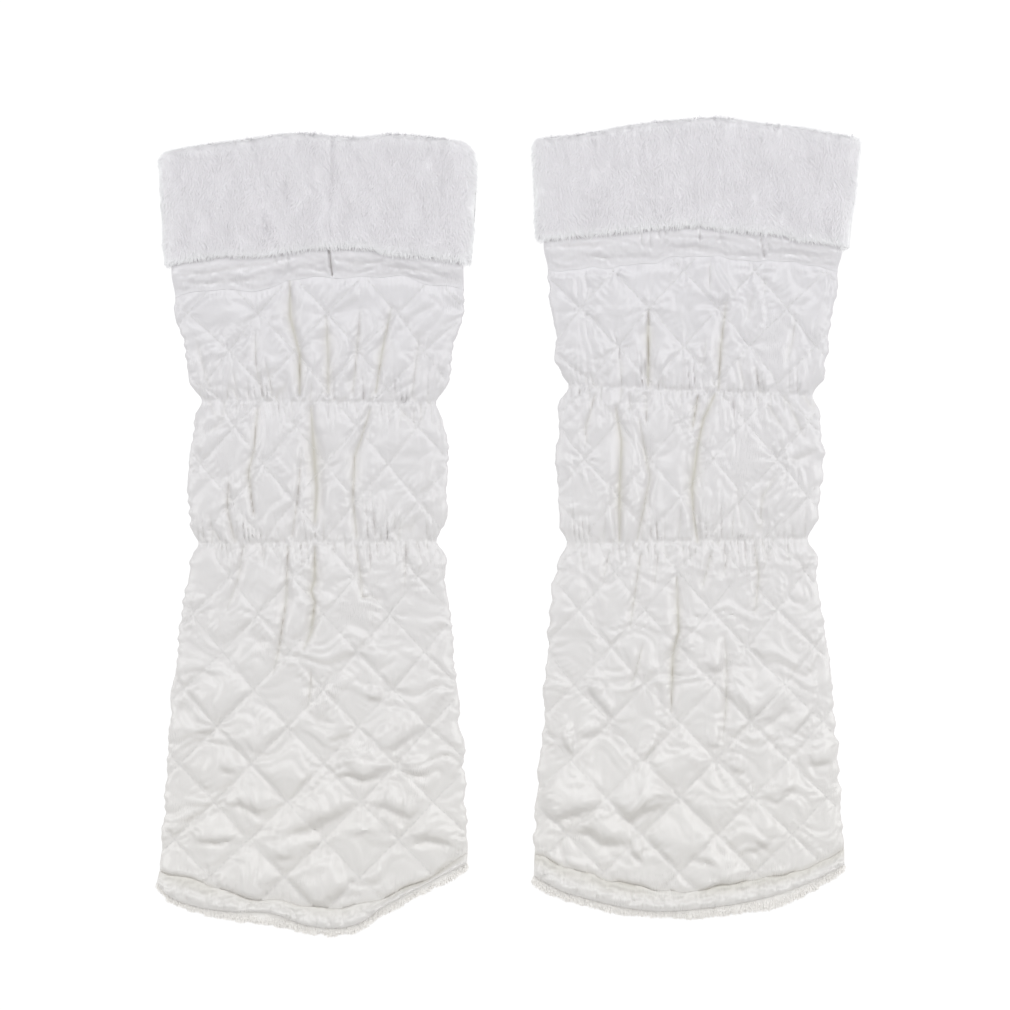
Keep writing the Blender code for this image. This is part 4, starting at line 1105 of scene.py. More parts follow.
@dataclass(frozen=True)
class Coat:
    """A coat of hairs: how many to the square millimetre, their sizes and how they lie."""

    density: float
    length: float
    width: float
    lift: float
    stray: float
    level: float = 0.9
    lowest: float = 0.1

    def grow(self, nap: Repeater, skin: bpy.types.Object, name: str, face: Face,
             seed: int) -> bpy.types.Object:
        """Grow the coat on a piece.

        Args:
            nap: The hairs' tree.
            skin: The piece that they stand on.
            name: The coat's name.
            face: The tube's side that it is on.
            seed: Draws the hairs' places.

        Returns:
            The hairs, as one mesh.
        """
        hairs = nap.grow(name, skin.data.copy(), {
            "Density": self.density / MM ** 2, "Length": self.length * MM, "Width": self.width * MM,
            "Lift": self.lift, "Stray": self.stray, "Level": self.level * face.up, "Seed": seed})
        comb_above(hairs, self.lowest)
        return hairs


def comb_above(piece: bpy.types.Object, level: float) -> None:
    """Press hairs that would reach through the surface below back onto it.

    Args:
        piece: The hairs.
        level: How low they may reach.
    """
    points = np.zeros(len(piece.data.vertices) * 3, np.float32)
    piece.data.vertices.foreach_get("co", points)
    points = points.reshape(-1, 3)
    points[:, 2] = np.maximum(points[:, 2], level * MM)
    piece.data.vertices.foreach_set("co", points.ravel())


# ---------------------------------------------------------------- sub-assemblies
@dataclass
class Panel:
    """The front or back half of a part of one leg warmer."""

    plan: LegPlan
    face: Face

    def named(self, part: str) -> str:
        """The name of a part of this half."""
        return f"{self.plan.side}_{self.face.value}_{part}"


@dataclass
class QuiltedShell(Panel):
    """One panel of the quilted tube, with its folds, elastics and quilting stitches."""

    puff: float = 3.6
    valley: float = 1.7
    pleat: float = 1.9
    ruffle: float = 1.0
    groove: float = 1.3
    crumple: float = 0.8
    droop: float = 2.0
    level_share: float = 0.952
    front_sides: tuple[float, ...] = (0.958, 0.964, 0.97, 0.976, 0.982, 0.987, 0.991, 0.995, 0.998, 1.0)
    back_sides: tuple[float, ...] = (0.97, 0.987, 0.995, 1.0)
    hem_room: float = 21.0
    band_room: float = 4.5
    hem_span: float = 36.0
    band_span: float = 11.0
    stitch_run: Pair = (-206.0, 146.0)
    stitch_step: float = 1.4
    stitch_side: float = 0.97
    stitch_margin: float = 1.2
    stitch_lift: float = 0.12
    stitch_pitch: float = 3.1
    stitch_length: float = 2.5
    thread_width: float = 0.34

    @property
    def fineness(self) -> tuple[int, int]:
        """Columns and rows to half a diamond."""
        return (25, 18) if self.face is Face.FRONT else (7, 9)

    def columns(self) -> Grid:
        """Shares across the leg, in step with the quilting.

        Returns:
            The share of each column of points.
        """
        inner = self.plan.lattice[0] + HALF_DIAMOND_WIDE / self.fineness[0] * np.arange(-400, 400)
        inner = inner[np.abs(inner) < self.level_share]
        rounded = np.array(self.front_sides if self.face is Face.FRONT else self.back_sides)
        return np.concatenate([-rounded[::-1], inner, rounded])

    def rows(self, share: Grid) -> Grid:
        """Y of each row and column, following the quilting inside and the seams at both ends.

        Args:
            share: The share of each column.

        Returns:
            The y of each point.
        """
        plan, step = self.plan, HALF_DIAMOND_HIGH / self.fineness[1]
        low = max(knot[1] for knot in plan.hem_seam.knots) + self.hem_room
        high = min(knot[1] for knot in plan.band_seam.knots) - self.band_room
        level = plan.lattice[1] + step * np.arange(-600, 600)
        level = level[(level >= low) & (level <= high)]
        hem = plan.seam_y(plan.hem_seam, share) + SEAM_GAP / 2
        band = plan.seam_y(plan.band_seam, share) - SEAM_GAP / 2
        below, above = int(self.hem_span / step), int(self.band_span / step)
        under = [mix(hem, level[0], part) for part in np.linspace(0, 1, below)[:-1]]
        over = [mix(level[-1], band, part) for part in np.linspace(0, 1, above)[1:]]
        return np.stack(under + [np.full(len(share), y) for y in level] + over)

    def spread(self, share: Grid, y: Grid) -> Grid:
        """X of each place, with the small unevenness of the sides.

        Args:
            share: Shares across.
            y: Places along.

        Returns:
            The x of each place.
        """
        plan, turn = self.plan, np.sign(share)
        bumps = (0.9 * np.abs(swell(turn * 40, y, 24, plan.seed + 1))
                 + 0.3 * swell(turn * 40, y, 5, plan.seed + 2))
        calm = sum(bell(self.away(line, share, y), 5.0) for line in plan.elastics)
        ends = ease((y - y[0]) / 8) * ease((y[-1] - y) / 6)
        bumps = bumps - 0.5 + 1.2 * bell(y - 30, 18)
        return plan.tube_x(share, y) + turn * np.abs(share) ** 8 * bumps * ends * np.maximum(1 - calm, 0)

    def away(self, line: Pair, share: Grid, y: Grid) -> Grid:
        """How far places are above an elastic line."""
        return y - self.plan.elastic_y(line, share)

    def puffs(self, share: Grid, y: Grid) -> Grid:
        """The padded diamonds, which sag towards the hem.

        Args:
            share: Shares across.
            y: Places along.

        Returns:
            A fullness from 0 to about 1.
        """
        plan = self.plan
        one, two = plan.lattice_cells(share, y)
        row, column = np.floor(one), np.floor(two)
        chance = lots(row, column, plan.seed, (12.99, 78.23, 437.585))
        other = lots(row, column, plan.seed, (39.35, 11.13, 217.331))
        full = mix(0.16, 0.42, lowness(y)) * (0.3 + 1.2 * chance)
        for x_at, y_at, strength in plan.pockets:
            edges = plan.tube_x(np.array([-1.0, 1.0]), np.full(2, y_at))
            cell = plan.lattice_cells((2 * x_at - edges[0] - edges[1]) / (edges[1] - edges[0]), y_at)
            inside = (row == np.floor(cell[0])) & (column == np.floor(cell[1]))
            full = np.where(inside, 1.5 * strength, full)
        right, left = one - row, 1 - (two - column)
        lean = 0.70 + 0.16 * (chance - 0.5)
        ramp = right ** lean * left ** (1.40 - lean) / (0.28 + 0.20 * other)
        crest = ramp / (1 + ramp ** 4) ** 0.25
        return full * crest * ((1 - right) * (1 - left)) ** 0.85 * 1.5

    def stars(self, one: Grid, two: Grid) -> Grid:
        """Dimples where two quilting lines cross, with folds that run out from them.

        Args:
            one: The first quilting count.
            two: The second one.

        Returns:
            Heights to add.
        """
        first, second = np.round(one), np.round(two)
        across = (one - first + two - second) * HALF_DIAMOND_SPAN
        along = (one - first - two + second) * HALF_DIAMOND_HIGH
        away, turn = np.hypot(across, along), np.arctan2(along, across)
        chance = lots(first, second, self.plan.seed, (27.17, 61.7, 391.7))
        other = lots(first, second, self.plan.seed, (53.3, 19.9, 173.3))
        folds = cusps((2.0 + np.round(other)) * turn + 6.3 * chance + 0.05 * away, 0.7)
        folds = 0.65 * folds + 0.35 * cusps(5.0 * turn - 6.3 * other - 0.09 * away, 0.7) - 0.68
        out = away / 4.2
        folds = folds * ease(away / 2.8)
        return (0.6 + 0.8 * other) * (1.5 * folds * out * np.exp(1 - out) - 0.4 * bell(away, 3.0))

    def pleats(self, share: Grid, x: Grid, y: Grid) -> tuple[Grid, Grid]:
        """Sharp folds and fine ruffles that run out from the elastics.

        Args:
            share: Shares across.
            x: Places across.
            y: Places along.

        Returns:
            Heights to add, and painted shade in the pleats' troughs and between the ruffles.
        """
        plan, total, shade = self.plan, np.zeros(share.shape), np.zeros(share.shape)
        for number, line in enumerate(plan.elastics):
            away = self.away(line, share, y)
            far = np.abs(away)
            for above in (True, False):
                seed = plan.seed + 10 * number + (5 if above else 0)
                here = ease(0.5 + (1 if above else -1) * away / 0.8)
                count = x / (6.6 if above else 7.7) + 0.7 * ripple(x + 0.15 * away, 23, seed + 1)
                length = 7 + 6 * np.abs(ripple(np.round(count) * 7.3, 11, seed + 2))
                fold = cusps(pi * count, 0.5) - 0.76
                small = cusps(pi * (x / 3.1 + 0.35 * ripple(x, 9, seed + 3)), 0.7) - 0.65
                size = 0.8 + 0.4 * ripple(x, 19, seed + 4)
                some = 0.45 + 0.65 * np.minimum(np.abs(ripple(np.round(count) * 5.1, 9, seed + 6)), 1.1)
                total += here * (self.pleat * some * fold * bell(far, length) * (1 - bell(far, 1.0))
                                 + self.ruffle * size * small * bell(far - 1.4, 2.4))
                # Painted shade in the pleats' troughs and between the ruffles.
                folded = np.maximum(-fold - 0.2, 0) * bell(far - 3, 0.6 * length) * some
                puckered = 0.45 * np.maximum(-small - 0.2, 0) * size * bell(far - 1.4, 2.2)
                shade += here * (0.45 * folded + puckered)
        return total, np.clip(shade, 0, 1)

    def crumples(self, share: Grid, x: Grid, y: Grid) -> Grid:
        """Soft facets with narrow creases between them, and small puckers beside the quilting.

        Args:
            share: Shares across.
            x: Places across.
            y: Places along.

        Returns:
            Heights to add.
        """
        plan = self.plan
        tall = 0.85 * ease((y + 45) / 50)
        bent_x = x + 4 * swell(x, y, 31, plan.seed + 21)
        bent_y = y + 4 * swell(x, y, 33, plan.seed + 22)
        total = np.zeros(share.shape)
        for size, length, seed in ((0.9, 34, 23), (0.75, 19, 24), (0.36, 10, 25)):
            upright = np.abs(swell(bent_x, 0.55 * bent_y, length, plan.seed + seed)) ** 0.9
            lying = np.abs(swell(0.6 * bent_x, bent_y, length, plan.seed + seed + 10)) ** 0.9
            total += size * mix(lying, upright, tall)
        one, two = plan.lattice_cells(share, y)
        for count, turn, seed in ((one, 1.0, 41), (two, -1.0, 42)):
            off = np.abs(count - np.round(count)) * LINE_SPACING
            bent = 1.6 * swell(x, y, 17, plan.seed + seed)
            wave = np.sin(2 * pi * (0.5 * x - turn * 0.86 * y) / 3.3 + bent)
            patch = ease(swell(x, y, 34, plan.seed + seed + 2))
            total += 0.30 * wave * patch * bell(off - 3.5, 3.2)
        return self.crumple * total

    def shape(self, share: Grid, x: Grid, y: Grid) -> tuple[Grid, Grid]:
        """Wall and shade of the front.

        Args:
            share: Shares across.
            x: Places across.
            y: Places along.

        Returns:
            The wall's thickness, and the painted shade at each place, in folds and along the hem seam.
        """
        plan = self.plan
        calm = 1 - 0.8 * sum(bell(self.away(line, share, y), 9.0) for line in plan.elastics)
        off, low = plan.off_quilting(share, y), lowness(y)
        wall = STITCH_WALL + 0.6 + self.puff * self.puffs(share, y) * calm
        wall = wall + self.crumples(share, x, y) * (1 - 0.4 * bell(off, 1.6)) * mix(0.6, 1, calm) - 0.9
        wall = wall + self.stars(*plan.lattice_cells(share, y)) * calm * mix(0.7, 0.6, low)
        seen = ease(0.4 + 0.5 * swell(x, y, 42, plan.seed + 55)) * mix(0.22, 0.6, low)
        wall = wall - 0.42 * seen * bell(off, 0.7)
        pleats, shade = self.pleats(share, x, y)
        wall = wall + pleats
        for crease in plan.shell_creases:
            change, deep = crease.trough(x, y)
            wall, shade = wall + change, np.maximum(shade, deep)
        for fold in plan.sags:
            wall = wall + self.droop * fold.hang(x, y)
        for line in plan.elastics:
            away = self.away(line, share, y)
            broken = 0.1 + 0.3 * np.abs(ripple(x, 6, plan.seed + 56))
            wall = wall - self.valley * (0.5 * bell(away, 6.0) + broken * bell(away, 1.0))
        to_band, to_hem = plan.seam_at(plan.band_seam, x) - y, y - plan.seam_at(plan.hem_seam, x)
        gather = cusps(pi * (x / 2.9 + 0.5 * ripple(x, 12, plan.seed + 51))) - 0.6
        wall = wall + 0.75 * gather * bell(to_band - 2.0, 2.6)
        tuck = cusps(pi * (x / 7.0 + 0.9 * ripple(x, 26, plan.seed + 57)), 0.6) - 0.7
        wall = wall + 1.1 * tuck * bell(to_hem - 2.4, 3.2)
        wall = LEAST_WALL + SOFT_FLOOR * np.log1p(np.exp((wall - LEAST_WALL) / SOFT_FLOOR))
        wall = mix(STITCH_WALL, wall, ease(to_band / 5))
        wall = mix(STITCH_WALL, wall, ease((to_hem + 0.6) / (3.6 + 1.4 * tuck)))
        # Painted shade along the hem seam, creamy where the satin dips into the seam.
        shade = np.maximum(shade, (0.1 + 0.2 * plan.hem_shade(x)) * bell(to_hem, 1.8))
        rounding = round_off(plan.side_distance(share, y), EDGE_ROUND)
        return mix(EDGE_WALL, np.maximum(wall, LEAST_WALL), rounding), shade

    def front(self) -> tuple[Grid, Grid]:
        """The quilted front's outer surface.

        Returns:
            Its points, and the painted shade at each, in folds and on slopes that face the hem.
        """
        share = self.columns()
        y = self.rows(share)
        across = np.broadcast_to(share, y.shape)
        x = self.spread(across, y)
        wall, shade = self.shape(across, x, y)
        # Painted shade: slopes that face the hem, away from the top light, are darkened and warmed.
        slope = np.gradient(wall, axis=0) / np.gradient(y, axis=0)
        weight = mix(0.12, 0.18, lowness(y)) * ease(0.55 + 0.5 * swell(x, y, 60, self.plan.seed + 59))
        shade = np.maximum(shade, weight * ease((slope - 0.05) / 0.75))
        return np.stack([x, y, SHELL_MIDDLE + SEAM_GAP / 2 + wall], -1), shade

    def back(self) -> tuple[Grid, Grid]:
        """The back's outer surface, flat where it rests, with its quilting drawn up into it.

        Returns:
            Its points, and painted shade where the quilting and elastics draw it up.
        """
        plan, share = self.plan, self.columns()
        y = self.rows(share)
        across = np.broadcast_to(share, y.shape)
        x = self.spread(across, y)
        rise = self.groove * bell(plan.off_quilting(across, y), 2.4)
        for elastic in plan.elastics:
            away = self.away(elastic, across, y)
            ruffle = 0.7 + 0.3 * np.sin(2 * pi * x / 5.2 + ripple(x, 20, plan.seed))
            rise = np.maximum(rise, self.groove * 1.3 * bell(away, 3.5) * ruffle)
        inside = SHELL_MIDDLE - SEAM_GAP / 2
        rounding = round_off(plan.side_distance(across, y), EDGE_ROUND)
        # Painted shade where the quilting and elastics draw the back up.
        return np.stack([x, y, mix(inside - EDGE_WALL, rise, rounding)], -1), rise / self.groove * 0.3

    def stitch_lines(self, points: Grid, share: Grid) -> bpy.types.Mesh:
        """Lines along the quilting, on the finished surface.

        Args:
            points: The surface's points.
            share: The share of each of its columns.

        Returns:
            A mesh of edges.
        """
        plan, spots, edges = self.plan, [], []
        lift = self.stitch_lift * self.face.up

        def lay(shares: Grid, ys: Grid) -> None:
            """Lay one line on the surface, broken where it leaves the panel.

            Args:
                shares: Shares across.
                ys: Places along.
            """
            column = np.interp(shares, share, np.arange(len(share)))
            previous = None
            for place, y in zip(column, ys):
                first = min(int(place), len(share) - 2)
                strip = mix(points[:, first], points[:, first + 1], place - first)
                if not strip[0, 1] + self.stitch_margin < y < strip[-1, 1] - self.stitch_margin:
                    previous = None
                    continue
                spot = [np.interp(y, strip[:, 1], strip[:, axis]) for axis in range(3)]
                spots.append((spot[0] * MM, spot[1] * MM, (spot[2] + lift) * MM))
                if previous is not None:
                    edges.append((previous, len(spots) - 1))
                previous = len(spots) - 1

        ys = np.arange(*self.stitch_run, self.stitch_step)
        along = (ys - plan.lattice[1]) / HALF_DIAMOND_HIGH
        for number in range(-14, 15):
            for turn in (-1, 1):
                shares = plan.lattice[0] + HALF_DIAMOND_WIDE * (2 * number + turn * along)
                kept = np.abs(shares) < self.stitch_side
                if kept.sum() > 3:
                    lay(shares[kept], ys[kept])
        mesh = bpy.data.meshes.new(self.named("quilting_lines"))
        mesh.from_pydata(spots, edges, [])
        return mesh

    def make(self, stitches: Repeater) -> list[bpy.types.Object]:
        """Build the panel and its stitches.

        Args:
            stitches: The stitches' tree.

        Returns:
            Both pieces.
        """
        points, shade = self.front() if self.face is Face.FRONT else self.back()
        level = SHELL_MIDDLE + self.face.up * SEAM_GAP / 2
        cloth = sew_slab(self.named("shell_satin"), points, level, self.face, QUILTED_SATIN, shade)
        tread = stitches.grow(self.named("quilting_stitches"), self.stitch_lines(points, self.columns()), {
            "Pitch": self.stitch_pitch * MM, "Length": self.stitch_length * MM,
            "Thickness": self.thread_width * MM})
        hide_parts(self.named("shell"))
        settle([cloth, tread], Slot.QUILTED)
        return [cloth, tread]


@dataclass
class SatinBand(Panel):
    """Half of the plain band that climbs from the shell to under the turned-down cuff."""

    climb: float = 0.56
    wall: float = 3.7
    tuck: float = 6.0
    cuff_side: float = 4.2
    rows: int = 30

    def place(self, share: Grid, along: Grid) -> tuple[Grid, Grid]:
        """X and y on the band.

        Args:
            share: Shares across.
            along: Shares from its lower seam up to its tucked end.

        Returns:
            The x and the y of each place.
        """
        plan = self.plan
        y_low = plan.seam_y(plan.band_seam, share) - SEAM_GAP / 2 + 0.05
        x_low = plan.tube_x(share, y_low)
        x_high = mix(plan.cuff[0][1] + self.cuff_side, plan.cuff[0][2] - self.cuff_side, (share + 1) / 2)
        y_high = plan.cuff_lip(x_high) + self.tuck - SEAM_GAP
        return mix(x_low, x_high, ease(along / self.climb)), mix(y_low, y_high, along)

    def folds(self, x: Grid, y: Grid, across: Grid, along: Grid) -> tuple[Grid, Grid]:
        """The front's folds, rolls and gathers.

        Args:
            x: Places across.
            y: Places along.
            across: Their shares across.
            along: Their shares up the band.

        Returns:
            Heights to add, and painted shade in its creases.
        """
        plan, total, shade = self.plan, np.zeros(along.shape), np.zeros(along.shape)
        free = ease(along / 0.12) * ease((0.82 - along) / 0.12)
        for crease in plan.band_creases:
            change, deep = crease.trough(x, y)
            # Painted shade in the band's creases.
            total, shade = total + change, np.maximum(shade, deep * free)
        flow = y + 2.0 * ripple(x, 60, plan.seed + 31)
        rolls = 0.8 * np.abs(swell(0.22 * x, flow, 10, plan.seed + 35)) ** 0.8
        rolls = rolls + 0.35 * np.abs(swell(0.5 * x, flow, 7, plan.seed + 36)) ** 0.8 - 0.6
        gathers = 0.6 * (cusps(pi * (x / 3.3 + 0.6 * ripple(x, 14, plan.seed + 32))) - 0.6)
        near_middle = 0.35 + 0.65 * bell(across, 0.45) * (0.6 + 0.4 * ripple(x, 26, plan.seed + 33))
        facets = 0.4 * np.abs(swell(x, y, 7, plan.seed + 38)) - 0.4
        facets = facets + 0.25 * np.abs(swell(x, y, 4, plan.seed + 39))
        total = total + 0.7 * rolls + 0.6 * facets + gathers * near_middle * bell(along, 0.40)
        return free * total, shade

    def make(self) -> list[bpy.types.Object]:
        """Build the band.

        Returns:
            It, in a list.
        """
        plan, up = self.plan, self.face.up
        share = QuiltedShell(plan, self.face).columns()
        rows = self.rows if self.face is Face.FRONT else self.rows // 3
        along = np.broadcast_to(np.linspace(0, 1, rows)[:, None], (rows, len(share)))
        across = np.broadcast_to(share, along.shape)
        x, y = self.place(across, along)
        rise = ease(along / self.climb)
        inner = mix(SHELL_MIDDLE, CUFF_MIDDLE, rise) + up * SEAM_GAP
        rounding = round_off(plan.side_distance(across, np.full(along.shape, plan.band_seam.knots[0][1])),
                             EDGE_ROUND)
        full, shade = mix(STITCH_WALL, self.wall, rise), np.zeros(along.shape)
        if self.face is Face.FRONT:
            change, shade = self.folds(x, y, across, along)
            full = np.minimum(full + change + 0.8 * ease((along - 0.45) / 0.3), self.wall + 0.8)
        height = inner + up * mix(EDGE_WALL, np.maximum(full, 0.7), rounding)
        if self.face is Face.BACK:
            height = np.maximum(height, mix(0, SHELL_MIDDLE, rise))
        piece = sew_wall(self.named("band_satin"), np.stack([x, y, height], -1), np.stack([x, y, inner], -1),
                         self.face, BAND_SATIN_PAINTED_LIGHT, {"crease": outside(shade)})
        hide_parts(self.named("band"))
        self.named("cuff")
        settle([piece], Slot.PLAIN)
        return [piece]


@dataclass
class PlushCuff(Panel):
    """Half of the turned-down cuff, one rounded body under a coat of short hairs."""

    band_wall: float = 4.5
    height: float = 19.4
    rounded: float = 10.0
    edge: float = 2.4
    closed: float = 2.2
    tuck: float = 6.0
    tuck_room: float = 1.5
    skin: float = 0.9
    furred_slope: float = -0.2
    root_shade: float = 0.15
    columns: int = 84
    corner: float = 5.5
    corner_steps: Pair = (1.1, 3.9)
    lip_round: tuple[Pair, ...] = ((2.0, 0.0), (0.4, 0.10), (0.0, 0.24), (0.8, 0.44), (2.6, 0.64),
                                   (5.2, 0.80), (8.2, 0.91))
    fold_round: tuple[Pair, ...] = ((2.6, 0.88), (0.6, 0.60), (0.0, 0.30), (0.5, 0.0))
    front_coat: Coat = Coat(2.1, 3.2, 0.42, 0.30, 0.27)
    back_coat: Coat = Coat(0.6, 3.2, 0.42, 0.30, 0.27)

    def ring(self, share: Grid) -> Grid:
        """Rings of control points round the body: pocket, lip, face, top fold and inside.

        Args:
            share: The share of each ring.

        Returns:
            The rings, one after the other.
        """
        plan = self.plan
        middle_row = plan.cuff[len(plan.cuff) // 2]
        width = middle_row[2] - middle_row[1]
        x = mix(middle_row[1], middle_row[2], (share + 1) / 2)
        lip, fold = plan.cuff_lip(x), plan.cuff_top(x)
        from_side = (1 - np.abs(share)) * width / 2
        inside = CUFF_MIDDLE + SEAM_GAP / 2
        face = mix(inside + self.edge, self.height, round_off(from_side, self.rounded))
        opened = from_side > self.closed + SEAM_GAP
        pocket = np.where(opened, CUFF_MIDDLE + self.band_wall + 2 * SEAM_GAP, inside)
        tuck = lip + self.tuck + self.tuck_room
        level = np.full(share.shape, inside)
        ring = [(tuck, level), (np.where(opened, tuck, mix(lip, tuck, 0.9)), pocket)]
        ring += [(lip + back, mix(pocket, face, part)) for back, part in self.lip_round]
        ring += [(mix(lip, fold, part), face) for part in np.linspace(0.24, 0.92, 12)]
        ring += [(fold - back, mix(inside, face, part)) for back, part in self.fold_round]
        ring += [(mix(fold, tuck, part), level) for part in (0.12, 0.5, 0.9)]
        found = []
        for y, height in ring:
            left, right = plan.sides(plan.cuff, y)
            height = height if self.face is Face.FRONT else np.maximum(2 * CUFF_MIDDLE - height, 0.0)
            found.append(np.stack([mix(left, right, (share + 1) / 2), y, height], -1))
        return np.stack(found, 1)

    def smooth(self, rings: Grid) -> Grid:
        """Cut the rings' corners once."""
        after = np.roll(rings, -1, 1)
        return np.stack([mix(rings, after, 0.25), mix(rings, after, 0.75)], 2).reshape(len(rings), -1, 3)

    def skinned(self, rings: Grid, faces: list) -> tuple[Grid, Grid, Grid]:
        """Draw the body in under its coat and lay it in soft folds.

        Args:
            rings: The smoothed rings.
            faces: The body's faces, as point numbers.

        Returns:
            Its points, their normals, and 1 where a point is on the outside.
        """
        plan, up = self.plan, self.face.up
        x, y, above = rings[..., 0], rings[..., 1], (rings[..., 2] - CUFF_MIDDLE) * up
        covered = (above > 0.6).astype(float)
        uneven = 0.36 * (swell(x, y * 0.5, 16, plan.seed + 41) + 0.5 * swell(x, y * 0.4, 7, plan.seed + 42))
        for crease in plan.plush_creases:
            uneven = uneven + crease.trough(x, y)[0]
        points = rings.reshape(-1, 3)
        normals = normals_of(points, faces)
        points = points - self.skin * normals * np.where(covered.ravel()[:, None] > 0, 1.0, (0.8, 0.8, 0.0))
        if self.face is Face.FRONT:
            points[:, 2] += (uneven * np.clip(above / 9 - 0.4, 0, 1)).ravel()
        else:
            points[:, 2] = np.maximum(points[:, 2], self.skin)
        return points, normals, covered.ravel()

    def nap_way(self, points: Grid, normals: Grid) -> Grid:
        """Which way the nap lies: down the cuff, with whorls.

        Args:
            points: The body's points.
            normals: Their normals.

        Returns:
            A direction for each point.
        """
        x, y, seed = points[:, 0], points[:, 1], self.plan.seed
        down = np.array([0.0, -1.0, 0.0]) - normals * (-normals[:, 1])[:, None]
        down /= np.maximum(np.linalg.norm(down, axis=1), 0.2)[:, None]
        turn = 0.28 * swell(x, y * 0.6, 18, seed + 43) + 0.2 * swell(x, y, 6, seed + 44)
        return down + np.stack([turn, 0 * turn, 0 * turn], -1)

    def painted_light_share(self, points: Grid, aside: Grid) -> Grid:
        """Painted light on the plush: lighter along its fold, its sides and its lip, where it also lifts the
        shade under the lip.

        Args:
            points: The body's points.
            aside: How far each is from the nearer side.

        Returns:
            A share from 0 to 1 for each point.
        """
        low = self.plan.cuff_top(points[:, 0]) - points[:, 1]
        pale = 0.45 * bell(np.minimum(np.maximum(low, 0), aside), 6.0)
        pale = np.maximum(pale, bell(points[:, 1] - self.plan.cuff_lip(points[:, 0]), 4.5))
        return np.maximum(pale, bell(np.minimum(aside, np.maximum(low + 0.5, 0)), 2.0))

    def make(self, nap: Repeater) -> list[bpy.types.Object]:
        """Build the body and its hairs.

        Args:
            nap: The hairs' tree.

        Returns:
            Both pieces.
        """
        plan = self.plan
        half = (plan.cuff[-1][2] - plan.cuff[-1][1]) / 2
        first, last = self.corner_steps
        edge_shares = np.array([1.0, 1 - first / half, 1 - self.closed / half, 1 - last / half])
        inner = np.linspace(-1 + self.corner / half, 1 - self.corner / half, self.columns)
        share = np.concatenate([-edge_shares, inner, edge_shares[::-1]])
        rings = self.smooth(self.ring(share))
        count, around = rings.shape[:2]
        index = np.arange(count * around).reshape(count, around)
        quads = np.stack([index[:-1], index[1:], np.roll(index[1:], -1, 1), np.roll(index[:-1], -1, 1)],
                         -1).reshape(-1, 4)
        faces = quads.tolist() + [index[0].tolist(), index[-1][::-1].tolist()]
        if self.face is Face.BACK:
            faces = [face[::-1] for face in faces]
        points, normals, covered = self.skinned(rings, faces)
        aside = (1 - np.abs(np.repeat(share, around))) * half
        marks = {"furred": covered * (normals[:, 2] * self.face.up > self.furred_slope),
                 "nap": self.nap_way(points, normals), "tip": np.full(len(points), self.root_shade),
                 # Painted light for the plush's colour.
                 "pale": self.painted_light_share(points, aside)}
        body = sew_piece(self.named("cuff_plush"), points, faces, CUFF_PLUSH, marks)
        coat = self.front_coat if self.face is Face.FRONT else self.back_coat
        hairs = coat.grow(nap, body, self.named("cuff_nap"), self.face, plan.seed)
        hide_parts(self.named("cuff"))
        settle([body, hairs], Slot.PLUSH)
        return [body, hairs]


